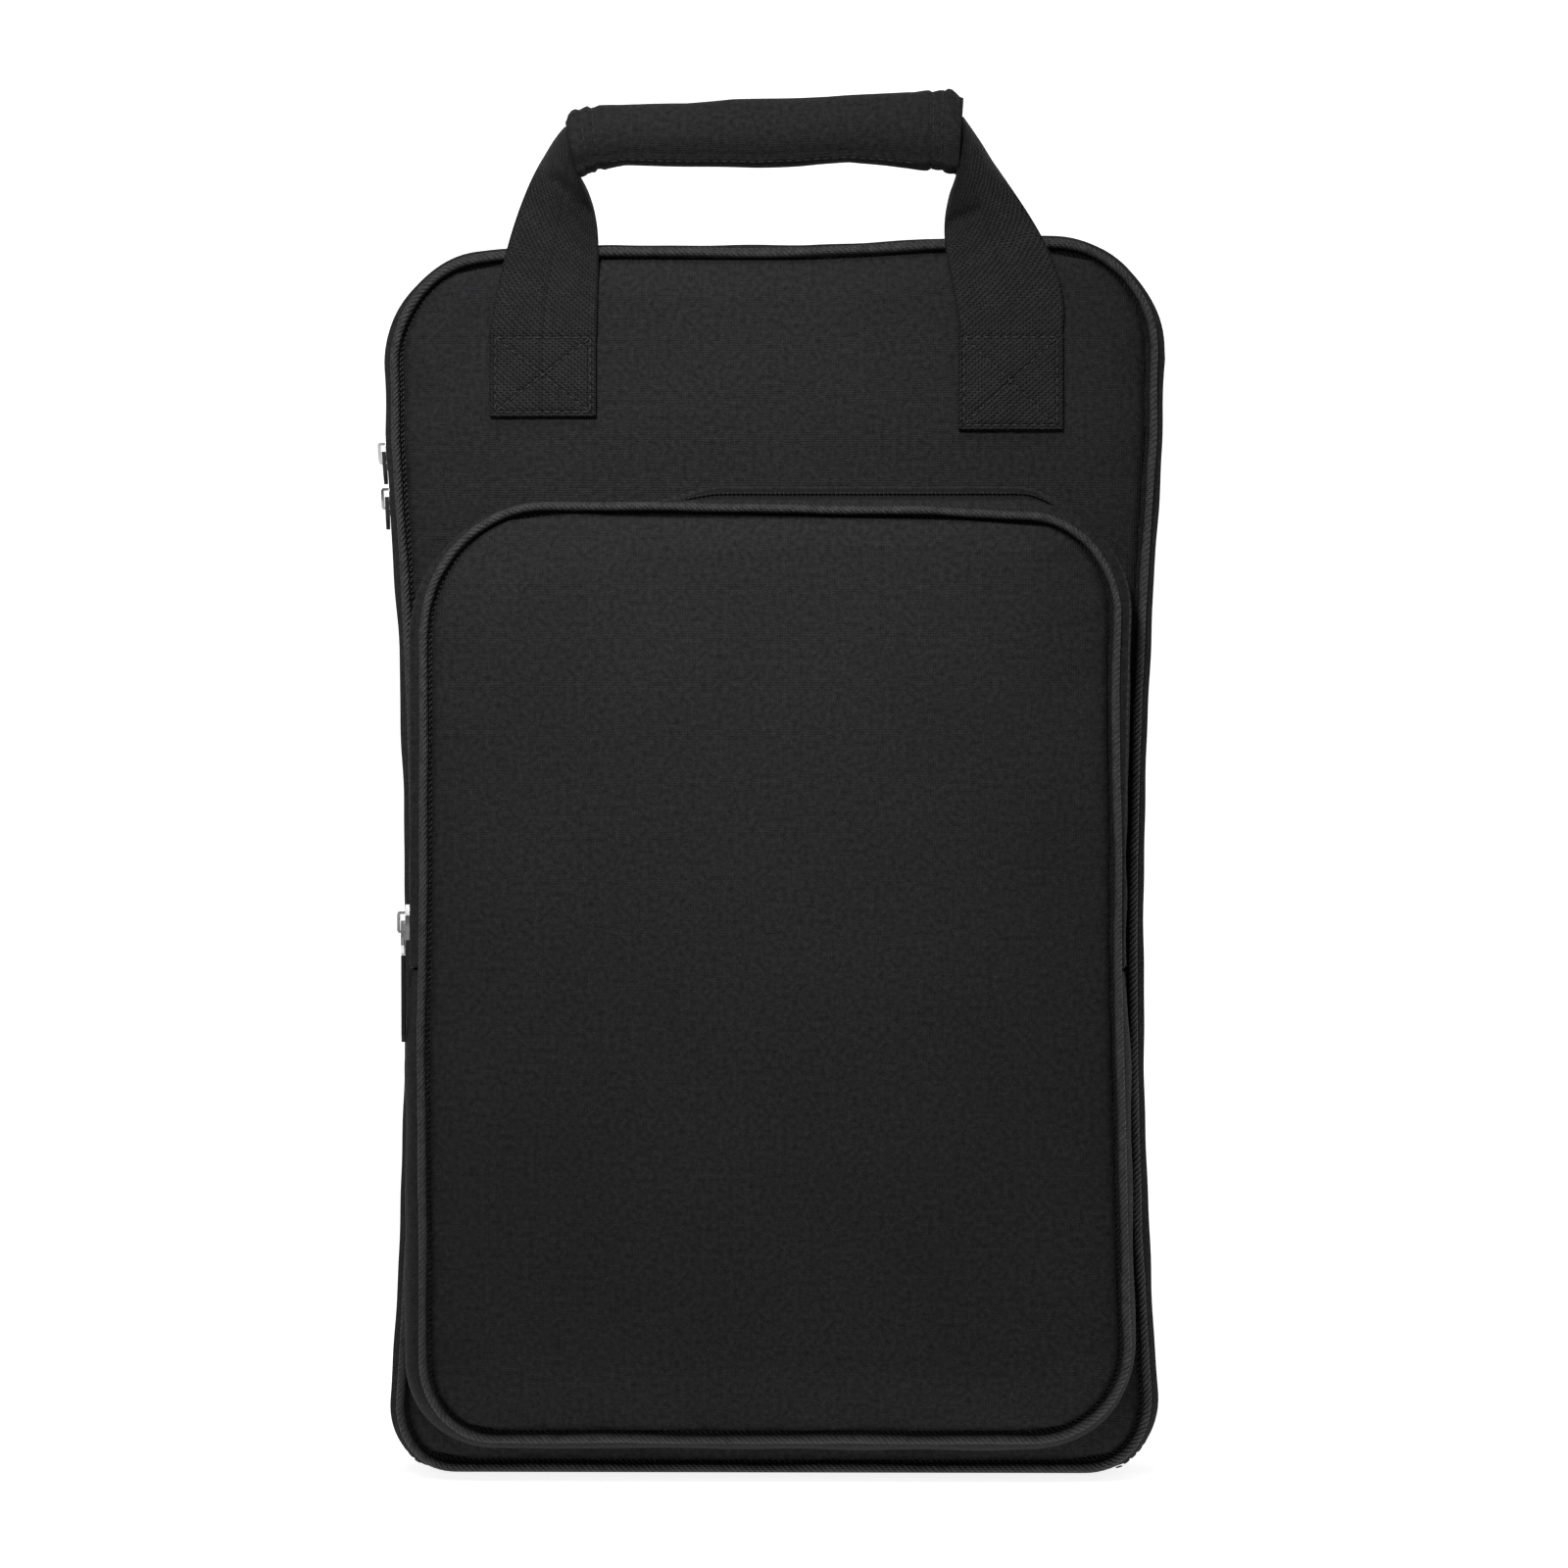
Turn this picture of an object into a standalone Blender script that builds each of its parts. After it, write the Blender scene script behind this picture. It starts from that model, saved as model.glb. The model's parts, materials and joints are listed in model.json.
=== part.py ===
"""Drum stick bag: a padded zip bag with a front pocket and a carry handle.

Metres, +Z up. The origin is the centre of the base, the front faces -Y, and
+X is the right side as the front is seen. The rear shell stands still. The
front cover turns about the right side like a book's cover, and carries the
pocket, whose upper half folds forward, and the carry handle.
"""
import math
from collections import namedtuple

import bmesh
import bpy
from mathutils import Matrix, Vector

MM = 0.001
GAP = 0.3 * MM                    # clearance between neighbouring pieces

# Main body.
BODY_DEPTH = 60 * MM
PIPING_RADIUS = 2.5 * MM
FABRIC = 1.2 * MM                 # thickness of the gussets and the panels' outer layer
FOAM = 3.0 * MM
LINING = 0.8 * MM
GUSSET_INSET = 2.5 * MM           # gussets stand this far inside the outermost edge
PANEL_INSET = 2 * PIPING_RADIUS + GAP
ZIP_Y = -12 * MM                  # middle of the main zip
TAPE_WIDTH = 5.4 * MM
TAPE = 0.8 * MM
COIL_WIDTH = 1.0 * MM
COIL_RISE = 0.8 * MM              # how far the coil stands out past its tape
STOP_LENGTH = 6 * MM

# Front pocket.
POCKET_DEPTH = 29 * MM
POCKET_PIPING_RADIUS = 2.3 * MM
POCKET_ZIP_DROP = 16 * MM         # from the front panel to the middle of the pocket's zip
POCKET_TAPE_WIDTH = 3.2 * MM
POCKET_FOLD_Z = 189 * MM          # the pocket's zip ends here on both sides

# Stick sleeve.
SLEEVE_HALF_WIDTH = 124 * MM
SLEEVE_BASE = 9 * MM
SLEEVE_TOP = 250 * MM
SLEEVE_DEPTH = 17 * MM
SLEEVE_CHANNELS = 5
BINDING_HEIGHT = 4 * MM

# Carry handle.
WEBBING = 1.2 * MM
HANDLE_Z = 424 * MM               # the webbing bends here, just above its stitched end
GRIP_WALL = 1.6 * MM
GRIP_HALF_DEPTH = 12.5 * MM

# Zip sliders and their pulls.
SLIDER_LENGTH = 13 * MM
SLIDER_WIDTH = 10.5 * MM
SLIDER_PLATE = 1.6 * MM
SLIDER_CLEARANCE = 0.5 * MM
BRIDGE_LENGTH = 8 * MM
BRIDGE_WIDTH = 3 * MM
BRIDGE_BAR = 1.0 * MM
BRIDGE_WINDOW = 2.2 * MM
PULL = 1.2 * MM
PULL_WIDTH = 7 * MM
UPPER_SLIDER_Z = 380 * MM
LOWER_SLIDER_Z = 363 * MM
LOWER_SLIDER_TRAVEL = 145 * MM
POCKET_SLIDER_Z = 206 * MM

ARC_STEPS = 5
SIDE_STEPS = 5
HALF_SIDE_STEPS = 3

Shape = namedtuple(
    "Shape", "left right bottom top top_left top_right bottom_left bottom_right "
             "left_waist right_waist")
BODY = Shape(-147 * MM, 147.3 * MM, 0, 459.5 * MM, 42 * MM, 42 * MM, 27 * MM, 30 * MM, 0.066, 0.066)
POCKET = Shape(-135.5 * MM, 136.8 * MM, 12 * MM, 362 * MM, 52 * MM, 42 * MM, 33 * MM, 40 * MM, 0.006, 0.043)
WAIST_Z = 195 * MM
WAIST_SPAN = 220 * MM             # the sides reach their full width this far from the waist

HINGE_X = 147.8 * MM
FRONT_Y = -BODY_DEPTH / 2
BACK_Y = BODY_DEPTH / 2
POCKET_Y = FRONT_Y - POCKET_DEPTH
POCKET_ZIP_Y = FRONT_Y - POCKET_ZIP_DROP
WEB_FRONT_Y = FRONT_Y - 2 * GAP - WEBBING

Finish = namedtuple("Finish", "colour roughness metallic")
OXFORD = Finish((0.022, 0.022, 0.025), 0.85, 0.0)
PIPING = Finish((0.030, 0.030, 0.034), 0.7, 0.0)
WEBBING_FINISH = Finish((0.020, 0.020, 0.022), 0.75, 0.0)
FOAM_FINISH = Finish((0.10, 0.10, 0.11), 0.95, 0.0)
LINING_FINISH = Finish((0.045, 0.045, 0.050), 0.8, 0.0)
TAPE_FINISH = Finish((0.014, 0.014, 0.015), 0.8, 0.0)
COIL_FINISH = Finish((0.012, 0.012, 0.013), 0.45, 0.0)
NICKEL = Finish((0.72, 0.72, 0.74), 0.28, 1.0)
RUBBER = Finish((0.015, 0.015, 0.016), 0.55, 0.0)


# Outlines ------------------------------------------------------------------

def waisted(shape, x, z):
    """Draws a point of the straight-sided outline in towards the waist."""
    away = ((z - WAIST_Z) / WAIST_SPAN) ** 2
    depth = shape.left_waist if x < 0 else shape.right_waist
    return x * (1 - depth * (1 - min(away, 1.0))), z


def corner(shape, x, z, radius, start):
    """A quarter turn round (x, z), counter-clockwise from the angle start."""
    angles = [math.radians(start + 90 * step / ARC_STEPS) for step in range(ARC_STEPS + 1)]
    return [waisted(shape, x + radius * math.cos(angle), z + radius * math.sin(angle)) for angle in angles]


def side_run(shape, inset, right, z_from, z_to, steps):
    """Points down or up one side, from z_from to z_to."""
    x = shape.right - inset if right else shape.left + inset
    heights = [z_from + (z_to - z_from) * step / steps for step in range(steps + 1)]
    return [waisted(shape, x, z) for z in heights]


def top_run(shape, inset):
    """Over the top, from the right side's end to the left side's end."""
    z = shape.top - inset
    right = shape.top_right - inset
    left = shape.top_left - inset
    return (corner(shape, shape.right - inset - right, z - right, right, 0)
            + corner(shape, shape.left + inset + left, z - left, left, 90))


def base_run(shape, inset, base_inset):
    """Along the bottom, from the left side's foot to the right side's foot."""
    left = shape.bottom_left - inset
    right = shape.bottom_right - inset
    z = shape.bottom + base_inset
    return (corner(shape, shape.left + inset + left, z + left, left, 180)
            + corner(shape, shape.right - inset - right, z + right, right, 270))


def joined(*runs):
    """One path through several runs, without the points they share."""
    path = []
    for point in (point for run in runs for point in run):
        if not path or (Vector(point) - Vector(path[-1])).length > GAP:
            path.append(point)
    return path


def foot(shape, right):
    """The height where a side meets its bottom corner."""
    return shape.bottom + (shape.bottom_right if right else shape.bottom_left)


def shoulder(shape, right):
    """The height where a side meets its top corner."""
    return shape.top - (shape.top_right if right else shape.top_left)


def whole_edge(shape, inset, base_inset=None):
    """The closed outline, counter-clockwise from the foot of the right side."""
    base_inset = inset if base_inset is None else base_inset
    right = side_run(shape, inset, True, foot(shape, True), shoulder(shape, True), SIDE_STEPS)
    left = side_run(shape, inset, False, shoulder(shape, False), foot(shape, False), SIDE_STEPS)
    path = joined(right, top_run(shape, inset), left, base_run(shape, inset, base_inset))
    return path[:-1] if (Vector(path[0]) - Vector(path[-1])).length < GAP else path


def zipped_edge(inset, base_inset):
    """The main zip's path: over the top, down the left side and along the bottom."""
    left = side_run(BODY, inset, False, shoulder(BODY, False), foot(BODY, False), SIDE_STEPS)
    return joined(top_run(BODY, inset), left, base_run(BODY, inset, base_inset))


def pocket_upper_edge(inset, fold=POCKET_FOLD_Z + GAP / 2):
    """The pocket's outline above its fold, from right to left."""
    right = side_run(POCKET, inset, True, fold, shoulder(POCKET, True), HALF_SIDE_STEPS)
    left = side_run(POCKET, inset, False, shoulder(POCKET, False), fold, HALF_SIDE_STEPS)
    return joined(right, top_run(POCKET, inset), left)


def pocket_lower_edge(inset, fold=POCKET_FOLD_Z - GAP / 2):
    """The pocket's outline below its fold, from left to right."""
    left = side_run(POCKET, inset, False, fold, foot(POCKET, False), HALF_SIDE_STEPS)
    right = side_run(POCKET, inset, True, foot(POCKET, True), fold, HALF_SIDE_STEPS)
    return joined(left, base_run(POCKET, inset, inset), right)


# Solids --------------------------------------------------------------------

def own_material(name, finish):
    material = bpy.data.materials.new(name + "_finish")
    material.use_nodes = True
    shader = material.node_tree.nodes["Principled BSDF"]
    shader.inputs["Base Color"].default_value = (*finish.colour, 1.0)
    shader.inputs["Roughness"].default_value = finish.roughness
    shader.inputs["Metallic"].default_value = finish.metallic
    return material


def add_object(name, data, finish, pivot):
    """Links a sub-part, made in world coordinates, under the pivot that it turns or slides with."""
    data.materials.append(own_material(name, finish))
    part = bpy.data.objects.new(name, data)
    bpy.context.scene.collection.objects.link(part)
    if pivot is not None:
        part.parent = pivot
        part.location = -Vector(pivot["axis_point"])
    return part


def add_mesh(name, solid, finish, pivot, smooth=False):
    bmesh.ops.recalc_face_normals(solid, faces=solid.faces)
    mesh = bpy.data.meshes.new(name)
    solid.to_mesh(mesh)
    solid.free()
    if smooth:
        mesh.shade_smooth()
        mesh.set_sharp_from_angle(angle=math.radians(40))
    return add_object(name, mesh, finish, pivot)


def add_pivot(name, axis_point, parent=None):
    """An empty on a joint's axis, for the pieces that move with that joint."""
    pivot = bpy.data.objects.new(name, None)
    bpy.context.scene.collection.objects.link(pivot)
    pivot["axis_point"] = axis_point
    pivot.location = Vector(axis_point)
    if parent is not None:
        pivot.parent = parent
        pivot.location = Vector(axis_point) - Vector(parent["axis_point"])
    return pivot


def prism_solid(corners, sweep):
    """A flat polygon of 3-D corners, swept along a vector."""
    solid = bmesh.new()
    near = [solid.verts.new(corner_point) for corner_point in corners]
    far = [solid.verts.new(Vector(corner_point) + Vector(sweep)) for corner_point in corners]
    solid.faces.new(near)
    solid.faces.new(far[::-1])
    for index in range(len(near)):
        solid.faces.new((near[index], near[index - 1], far[index - 1], far[index]))
    return solid


def loop_solid(loops, closed):
    """Matching loops of points joined in order, capped at both ends unless closed."""
    solid = bmesh.new()
    rings = [[solid.verts.new(point) for point in loop] for loop in loops]
    pairs = list(zip(rings, rings[1:]))
    if closed:
        pairs.append((rings[-1], rings[0]))
    else:
        solid.faces.new(rings[0])
        solid.faces.new(rings[-1])
    for near, far in pairs:
        for index in range(len(near)):
            solid.faces.new((near[index], near[index - 1], far[index - 1], far[index]))
    return solid


def slab(name, outline, y_front, y_back, finish, pivot=None):
    """A flat panel between two depths."""
    solid = prism_solid([(x, y_front, z) for x, z in outline], (0, y_back - y_front, 0))
    return add_mesh(name, solid, finish, pivot)


def wall(name, outer, inner, y_front, y_back, finish, pivot=None, closed=False):
    """A strip standing on edge between two matching outlines."""
    loops = [((outer_x, y_front, outer_z), (outer_x, y_back, outer_z),
              (inner_x, y_back, inner_z), (inner_x, y_front, inner_z))
             for (outer_x, outer_z), (inner_x, inner_z) in zip(outer, inner)]
    return add_mesh(name, loop_solid(loops, closed), finish, pivot)


def piping(name, outline, y, radius, pivot=None, closed=False):
    """A fabric-covered cord sewn along an outline."""
    curve = bpy.data.curves.new(name, "CURVE")
    curve.dimensions = "3D"
    curve.bevel_depth = radius
    curve.bevel_resolution = 1
    curve.use_fill_caps = True
    spline = curve.splines.new("POLY")
    spline.points.add(len(outline) - 1)
    for point, (x, z) in zip(spline.points, outline):
        point.co = (x, y, z, 1)
    spline.use_cyclic_u = closed
    return add_object(name, curve, PIPING, pivot)


def box(name, low, high, finish, pivot=None):
    corners = [(low[0], low[1], low[2]), (high[0], low[1], low[2]),
               (high[0], high[1], low[2]), (low[0], high[1], low[2])]
    return add_mesh(name, prism_solid(corners, (0, 0, high[2] - low[2])), finish, pivot)


# Rear shell ----------------------------------------------------------------

def panel_layers(prefix, outer_y, inward, pivot=None):
    """A padded panel: outer fabric, foam and lining, stacked inward from outer_y."""
    y = outer_y
    layers = (("panel", FABRIC, OXFORD, PANEL_INSET), ("foam", FOAM, FOAM_FINISH, PANEL_INSET + 2 * MM),
              ("lining", LINING, LINING_FINISH, PANEL_INSET + 1 * MM))
    for kind, thickness, finish, inset in layers:
        slab(f"{prefix}_{kind}", whole_edge(BODY, inset), y, y + inward * thickness, finish, pivot)
        y += inward * (thickness + GAP)


def gusset_edges(edge, inset, thickness):
    """Outer and inner outlines of a strip of the body's side, flush with the base."""
    return edge(inset, 0), edge(inset + thickness, thickness)


def body_edge(inset, base_inset):
    return whole_edge(BODY, inset, base_inset)


def zip_half(prefix, side, pivot=None):
    """One tape of the main zip and its coil; side is +1 for the rear half."""
    coil_inner = ZIP_Y + side * GAP / 2
    coil_outer = coil_inner + side * COIL_WIDTH
    tape_inner = coil_outer + side * GAP
    tape_outer = tape_inner + side * TAPE_WIDTH
    outer, inner = gusset_edges(zipped_edge, GUSSET_INSET, TAPE)
    wall(f"{prefix}_zip_tape", outer, inner, tape_inner, tape_outer, TAPE_FINISH, pivot)
    outer = zipped_edge(GUSSET_INSET - COIL_RISE, 0)
    inner = zipped_edge(GUSSET_INSET + TAPE, TAPE)
    wall(f"{prefix}_zip_coil", outer, inner, coil_inner, coil_outer, COIL_FINISH, pivot)
    return tape_outer + side * GAP


def rear_shell():
    panel_layers("back", BACK_Y, -1)
    piping("back_piping", whole_edge(BODY, PIPING_RADIUS), BACK_Y - PIPING_RADIUS, PIPING_RADIUS, closed=True)
    gusset_front = zip_half("rear", 1)
    outer, inner = gusset_edges(body_edge, GUSSET_INSET, FABRIC)
    wall("rear_gusset", outer, inner, gusset_front, BACK_Y - 2 * PIPING_RADIUS - GAP, OXFORD, closed=True)


def hinge_side():
    """The plain strip that bends as the cover opens, and the tabs over the zip's ends."""
    half_gap = COIL_WIDTH + TAPE_WIDTH + 1.5 * GAP
    low, high = foot(BODY, True), shoulder(BODY, True)
    spans = (("zip_end_tab_lower", low, low + STOP_LENGTH, 1),
             ("hinge_gusset", low + STOP_LENGTH + GAP, high - STOP_LENGTH - GAP, SIDE_STEPS),
             ("zip_end_tab_upper", high - STOP_LENGTH, high, 1))
    for name, z_from, z_to, steps in spans:
        outer = side_run(BODY, GUSSET_INSET, True, z_from, z_to, steps)
        inner = side_run(BODY, GUSSET_INSET + FABRIC, True, z_from, z_to, steps)
        wall(name, outer, inner, ZIP_Y - half_gap, ZIP_Y + half_gap, OXFORD)


def stick_sleeve():
    """A sheet sewn down to the back lining between channels, with a bound top edge."""
    back = BACK_Y - FABRIC - FOAM - LINING - 3 * GAP
    front = back - SLEEVE_DEPTH
    sheet = front + FABRIC
    pitch = (2 * SLEEVE_HALF_WIDTH - FABRIC) / SLEEVE_CHANNELS
    outline = [(-SLEEVE_HALF_WIDTH, front), (SLEEVE_HALF_WIDTH, front)]
    for rib in range(SLEEVE_CHANNELS, -1, -1):
        left = -SLEEVE_HALF_WIDTH + rib * pitch
        right = left + FABRIC
        stretch = [(right, sheet), (right, back), (left, back), (left, sheet)]
        outline += stretch[1:] if rib == SLEEVE_CHANNELS else stretch[:3] if rib == 0 else stretch
    corners = [(x, y, SLEEVE_BASE) for x, y in outline]
    solid = prism_solid(corners, (0, 0, SLEEVE_TOP - SLEEVE_BASE))
    add_mesh("stick_sleeve", solid, LINING_FINISH, None)
    low = (-SLEEVE_HALF_WIDTH, front - GAP, SLEEVE_TOP + GAP)
    high = (SLEEVE_HALF_WIDTH, sheet + GAP, SLEEVE_TOP + BINDING_HEIGHT)
    box("sleeve_binding", low, high, TAPE_FINISH)


# Front cover ---------------------------------------------------------------

def front_cover(pivot):
    panel_layers("front", FRONT_Y, 1, pivot)
    piping("front_piping", whole_edge(BODY, PIPING_RADIUS), FRONT_Y + PIPING_RADIUS, PIPING_RADIUS,
           pivot, closed=True)
    gusset_back = zip_half("front", -1, pivot)
    outer, inner = gusset_edges(body_edge, GUSSET_INSET, FABRIC)
    wall("front_gusset", outer, inner, FRONT_Y + 2 * PIPING_RADIUS + GAP, gusset_back, OXFORD,
         pivot, closed=True)


def pocket_strips(prefix, side, far_y, pivot):
    """Half of the pocket's zipped gusset; side is +1 for the half next to the cover."""
    inset = POCKET_PIPING_RADIUS
    coil_inner = POCKET_ZIP_Y + side * GAP / 2
    coil_outer = coil_inner + side * COIL_WIDTH
    tape_inner = coil_outer + side * GAP
    tape_outer = tape_inner + side * POCKET_TAPE_WIDTH
    wall(f"pocket_{prefix}_coil", pocket_upper_edge(inset - COIL_RISE), pocket_upper_edge(inset + TAPE),
         coil_inner, coil_outer, COIL_FINISH, pivot)
    wall(f"pocket_{prefix}_tape", pocket_upper_edge(inset), pocket_upper_edge(inset + TAPE),
         tape_inner, tape_outer, TAPE_FINISH, pivot)
    wall(f"pocket_{prefix}_gusset", pocket_upper_edge(inset), pocket_upper_edge(inset + FABRIC),
         tape_outer + side * GAP, far_y, OXFORD, pivot)


def pocket_face(prefix, edge, pivot):
    """One half of the pocket's front panel, its foam and its piping."""
    panel_inset = 2 * POCKET_PIPING_RADIUS + GAP
    slab(f"pocket_{prefix}_panel", edge(panel_inset), POCKET_Y, POCKET_Y + FABRIC, OXFORD, pivot)
    foam_y = POCKET_Y + FABRIC + GAP
    slab(f"pocket_{prefix}_foam", edge(panel_inset), foam_y, foam_y + FOAM / 2, FOAM_FINISH, pivot)
    piping(f"pocket_{prefix}_piping", edge(POCKET_PIPING_RADIUS), POCKET_Y + POCKET_PIPING_RADIUS,
           POCKET_PIPING_RADIUS, pivot)


def pocket_on_cover(pivot):
    """What stays on the cover: the lower half, the rear zipped strip and the end tabs."""
    pocket_face("lower", pocket_lower_edge, pivot)
    gusset_front = POCKET_Y + 2 * POCKET_PIPING_RADIUS + GAP
    inset = POCKET_PIPING_RADIUS
    wall("pocket_lower_gusset", pocket_lower_edge(inset), pocket_lower_edge(inset + FABRIC),
         gusset_front, FRONT_Y - GAP, OXFORD, pivot)
    pocket_strips("rear", 1, FRONT_Y - GAP, pivot)
    tab_top = POCKET_FOLD_Z - 1 * MM
    for name, right in (("pocket_tab_left", False), ("pocket_tab_right", True)):
        outer = side_run(POCKET, inset - FABRIC - GAP, right, tab_top - STOP_LENGTH, tab_top, 1)
        inner = side_run(POCKET, inset - GAP, right, tab_top - STOP_LENGTH, tab_top, 1)
        wall(name, outer, inner, POCKET_ZIP_Y - POCKET_TAPE_WIDTH, POCKET_ZIP_Y + POCKET_TAPE_WIDTH,
             WEBBING_FINISH, pivot)


def pocket_flap(pivot):
    """The pocket's upper half, which folds forward when its zip is open."""
    pocket_face("upper", pocket_upper_edge, pivot)
    pocket_strips("front", -1, POCKET_Y + 2 * POCKET_PIPING_RADIUS + GAP, pivot)


# Carry handle --------------------------------------------------------------

Leg = namedtuple("Leg", "side patch_outer patch_inner patch_low outer inner")
LEFT_LEG = Leg("left", -105 * MM, -65.5 * MM, 393 * MM,
               ((-105, 424.5), (-105, 456), (-92, 487), (-77, 499.5)),
               ((-65, 424.5), (-62, 450), (-64, 470), (-73.6, 482.5)))
RIGHT_LEG = Leg("right", 107.3 * MM, 68.5 * MM, 388 * MM,
                ((107, 424.5), (105, 448), (90, 482), (71, 504)),
                ((69, 424.5), (61, 448), (61, 468), (69.5, 483.5)))
LEG_STEPS = 7


def bezier(points, t):
    """A point on a cubic curve, from control points in millimetres."""
    start, first, second, end = (Vector(point) * MM for point in points)
    s = 1 - t
    return s ** 3 * start + 3 * s * s * t * first + 3 * s * t * t * second + t ** 3 * end


def webbing(leg, cover, handle):
    """One end of the handle: the stitched patch on the cover, and the leg above it."""
    patch_y = WEB_FRONT_Y + GAP / 2
    top = HANDLE_Z - 0.5 * MM
    low_x, high_x = sorted((leg.patch_outer, leg.patch_inner))
    box(f"{leg.side}_web_patch", (low_x, patch_y, leg.patch_low), (high_x, patch_y + WEBBING, top),
        WEBBING_FINISH, cover)
    steps = [step / LEG_STEPS for step in range(LEG_STEPS + 1)]
    outline = [bezier(leg.outer, t) for t in steps] + [bezier(leg.inner, t) for t in reversed(steps)]
    slab(f"{leg.side}_handle_web", outline, WEB_FRONT_Y, WEB_FRONT_Y + WEBBING, WEBBING_FINISH, handle)


GRIP_LEFT = -73 * MM
GRIP_RIGHT = 68.5 * MM
GRIP_STATIONS = 7
GRIP_SIDES = 12


def grip_ring(t, shrink):
    """An oval section of the grip; it is thicker at its ends than in its middle."""
    x = GRIP_LEFT + (GRIP_RIGHT - GRIP_LEFT) * t
    centre_z = (495 + 3.8 * math.sin(math.pi * t / 2)) * MM
    half_height = (11.7 + 1.3 * (1 - t) ** 4 + 4.0 * t ** 4) * MM - shrink
    half_depth = GRIP_HALF_DEPTH - shrink
    centre_y = WEB_FRONT_Y + WEBBING / 2
    turns = [2 * math.pi * side / GRIP_SIDES for side in range(GRIP_SIDES)]
    return [(x, centre_y + half_depth * math.cos(turn), centre_z + half_height * math.sin(turn))
            for turn in turns]


def grip(handle):
    """The padded grip: a foam core inside a wrapped cover that is open at both ends."""
    steps = [step / (GRIP_STATIONS - 1) for step in range(GRIP_STATIONS)]
    core_steps = [0.03 + 0.94 * t for t in steps]
    core = loop_solid([grip_ring(t, GRIP_WALL + GAP) for t in core_steps], closed=False)
    add_mesh("grip_core", core, FOAM_FINISH, handle, smooth=True)
    outside = [grip_ring(t, 0) for t in steps]
    inside = [grip_ring(t, GRIP_WALL) for t in reversed(steps)]
    add_mesh("grip_cover", loop_solid(outside + inside, closed=True), OXFORD, handle, smooth=True)


# Zip sliders ---------------------------------------------------------------

def side_frame(shape, inset, y, z, slope):
    """Axes on a left side: local +X points out of the bag, +Y towards the front, +Z up the zip."""
    x, _ = waisted(shape, shape.left + inset, z)
    up = Vector((-slope, 0, 1)).normalized()
    out = Vector((0, -1, 0)).cross(up)
    frame = Matrix((out, Vector((0, -1, 0)), up)).transposed().to_4x4()
    return Matrix.Translation((x, y, z)) @ frame


def joined_solid(name, frame, solids, finish, pivot):
    """A union of solids made in a frame's own axes."""
    parts = []
    for index, solid in enumerate(solids):
        solid.transform(frame)
        part_name = name if index == 0 else f"{name}_tool_{index}"
        parts.append(add_mesh(part_name, solid, finish, pivot))
    for tool in parts[1:]:
        tool.hide_render = True
        tool.display_type = "WIRE"
        union = parts[0].modifiers.new(tool.name, "BOOLEAN")
        union.operation = "UNION"
        union.solver = "EXACT"
        union.object = tool
    return parts[0]


def slider(name, frame, pivot):
    """A zip slider: a shield-shaped plate over the coils, with a bridge for the pull."""
    half_length = SLIDER_LENGTH / 2
    half_width = SLIDER_WIDTH / 2
    tail = 0.72 * half_width
    low = COIL_RISE + SLIDER_CLEARANCE
    plate = [(low, y, z) for y, z in (
        (-tail, -half_length), (tail, -half_length), (half_width, 0.4 * half_length),
        (0.6 * half_width, half_length), (-0.6 * half_width, half_length),
        (-half_width, 0.4 * half_length))]
    top = low + SLIDER_PLATE
    arch_top = top + BRIDGE_WINDOW + BRIDGE_BAR
    reach = BRIDGE_LENGTH / 2
    inside = reach - BRIDGE_BAR
    sunk = top - SLIDER_PLATE / 2
    arch = [(x, -BRIDGE_WIDTH / 2, z) for x, z in (
        (sunk, -reach), (arch_top - BRIDGE_BAR / 2, -reach), (arch_top, -inside), (arch_top, inside),
        (arch_top - BRIDGE_BAR / 2, reach), (sunk, reach), (sunk, inside),
        (arch_top - BRIDGE_BAR, inside), (arch_top - BRIDGE_BAR, -inside), (sunk, -inside))]
    solids = [prism_solid(plate, (SLIDER_PLATE, 0, 0)), prism_solid(arch, (0, BRIDGE_WIDTH, 0))]
    joined_solid(name, frame, solids, NICKEL, pivot)


PULL_AXIS = COIL_RISE + SLIDER_CLEARANCE + SLIDER_PLATE + BRIDGE_WINDOW / 2   # out from the tape


def pull_tab(name, frame, length, finish, pivot):
    """A flat pull with a window for the bridge; its top bar is the hinge."""
    bar = 0.65 * MM
    half = PULL_WIDTH / 2
    window = BRIDGE_WIDTH / 2 + 0.5 * MM
    window_foot = -BRIDGE_LENGTH / 2 - 0.8 * MM
    outer = ((-half, bar), (half, bar), (half, -length + half), (0.6 * half, -length),
             (-0.6 * half, -length), (-half, -length + half))
    inner = ((-window, -bar), (window, -bar), (window, window_foot), (0.6 * window, window_foot),
             (-0.6 * window, window_foot), (-window, window_foot))
    near = PULL_AXIS - PULL / 2
    loops = [((near, outer_y, outer_z), (near + PULL, outer_y, outer_z),
              (near + PULL, inner_y, inner_z), (near, inner_y, inner_z))
             for (outer_y, outer_z), (inner_y, inner_z) in zip(outer, inner)]
    solid = loop_solid(loops, closed=True)
    solid.transform(frame)
    add_mesh(name, solid, finish, pivot)


def slider_and_pull(name, frame, parent, pull_length):
    """A slider on its zip, with its pull hanging from the bridge."""
    travel = add_pivot(f"{name}_travel", tuple(frame.translation), parent)
    slider(f"{name}_slider", frame, travel)
    hinge = add_pivot(f"{name}_pull_axis", tuple(frame @ Vector((PULL_AXIS, 0, 0))), travel)
    pull_tab(f"{name}_pull", frame, pull_length, NICKEL if name == "pocket" else RUBBER, hinge)
    return hinge


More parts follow.
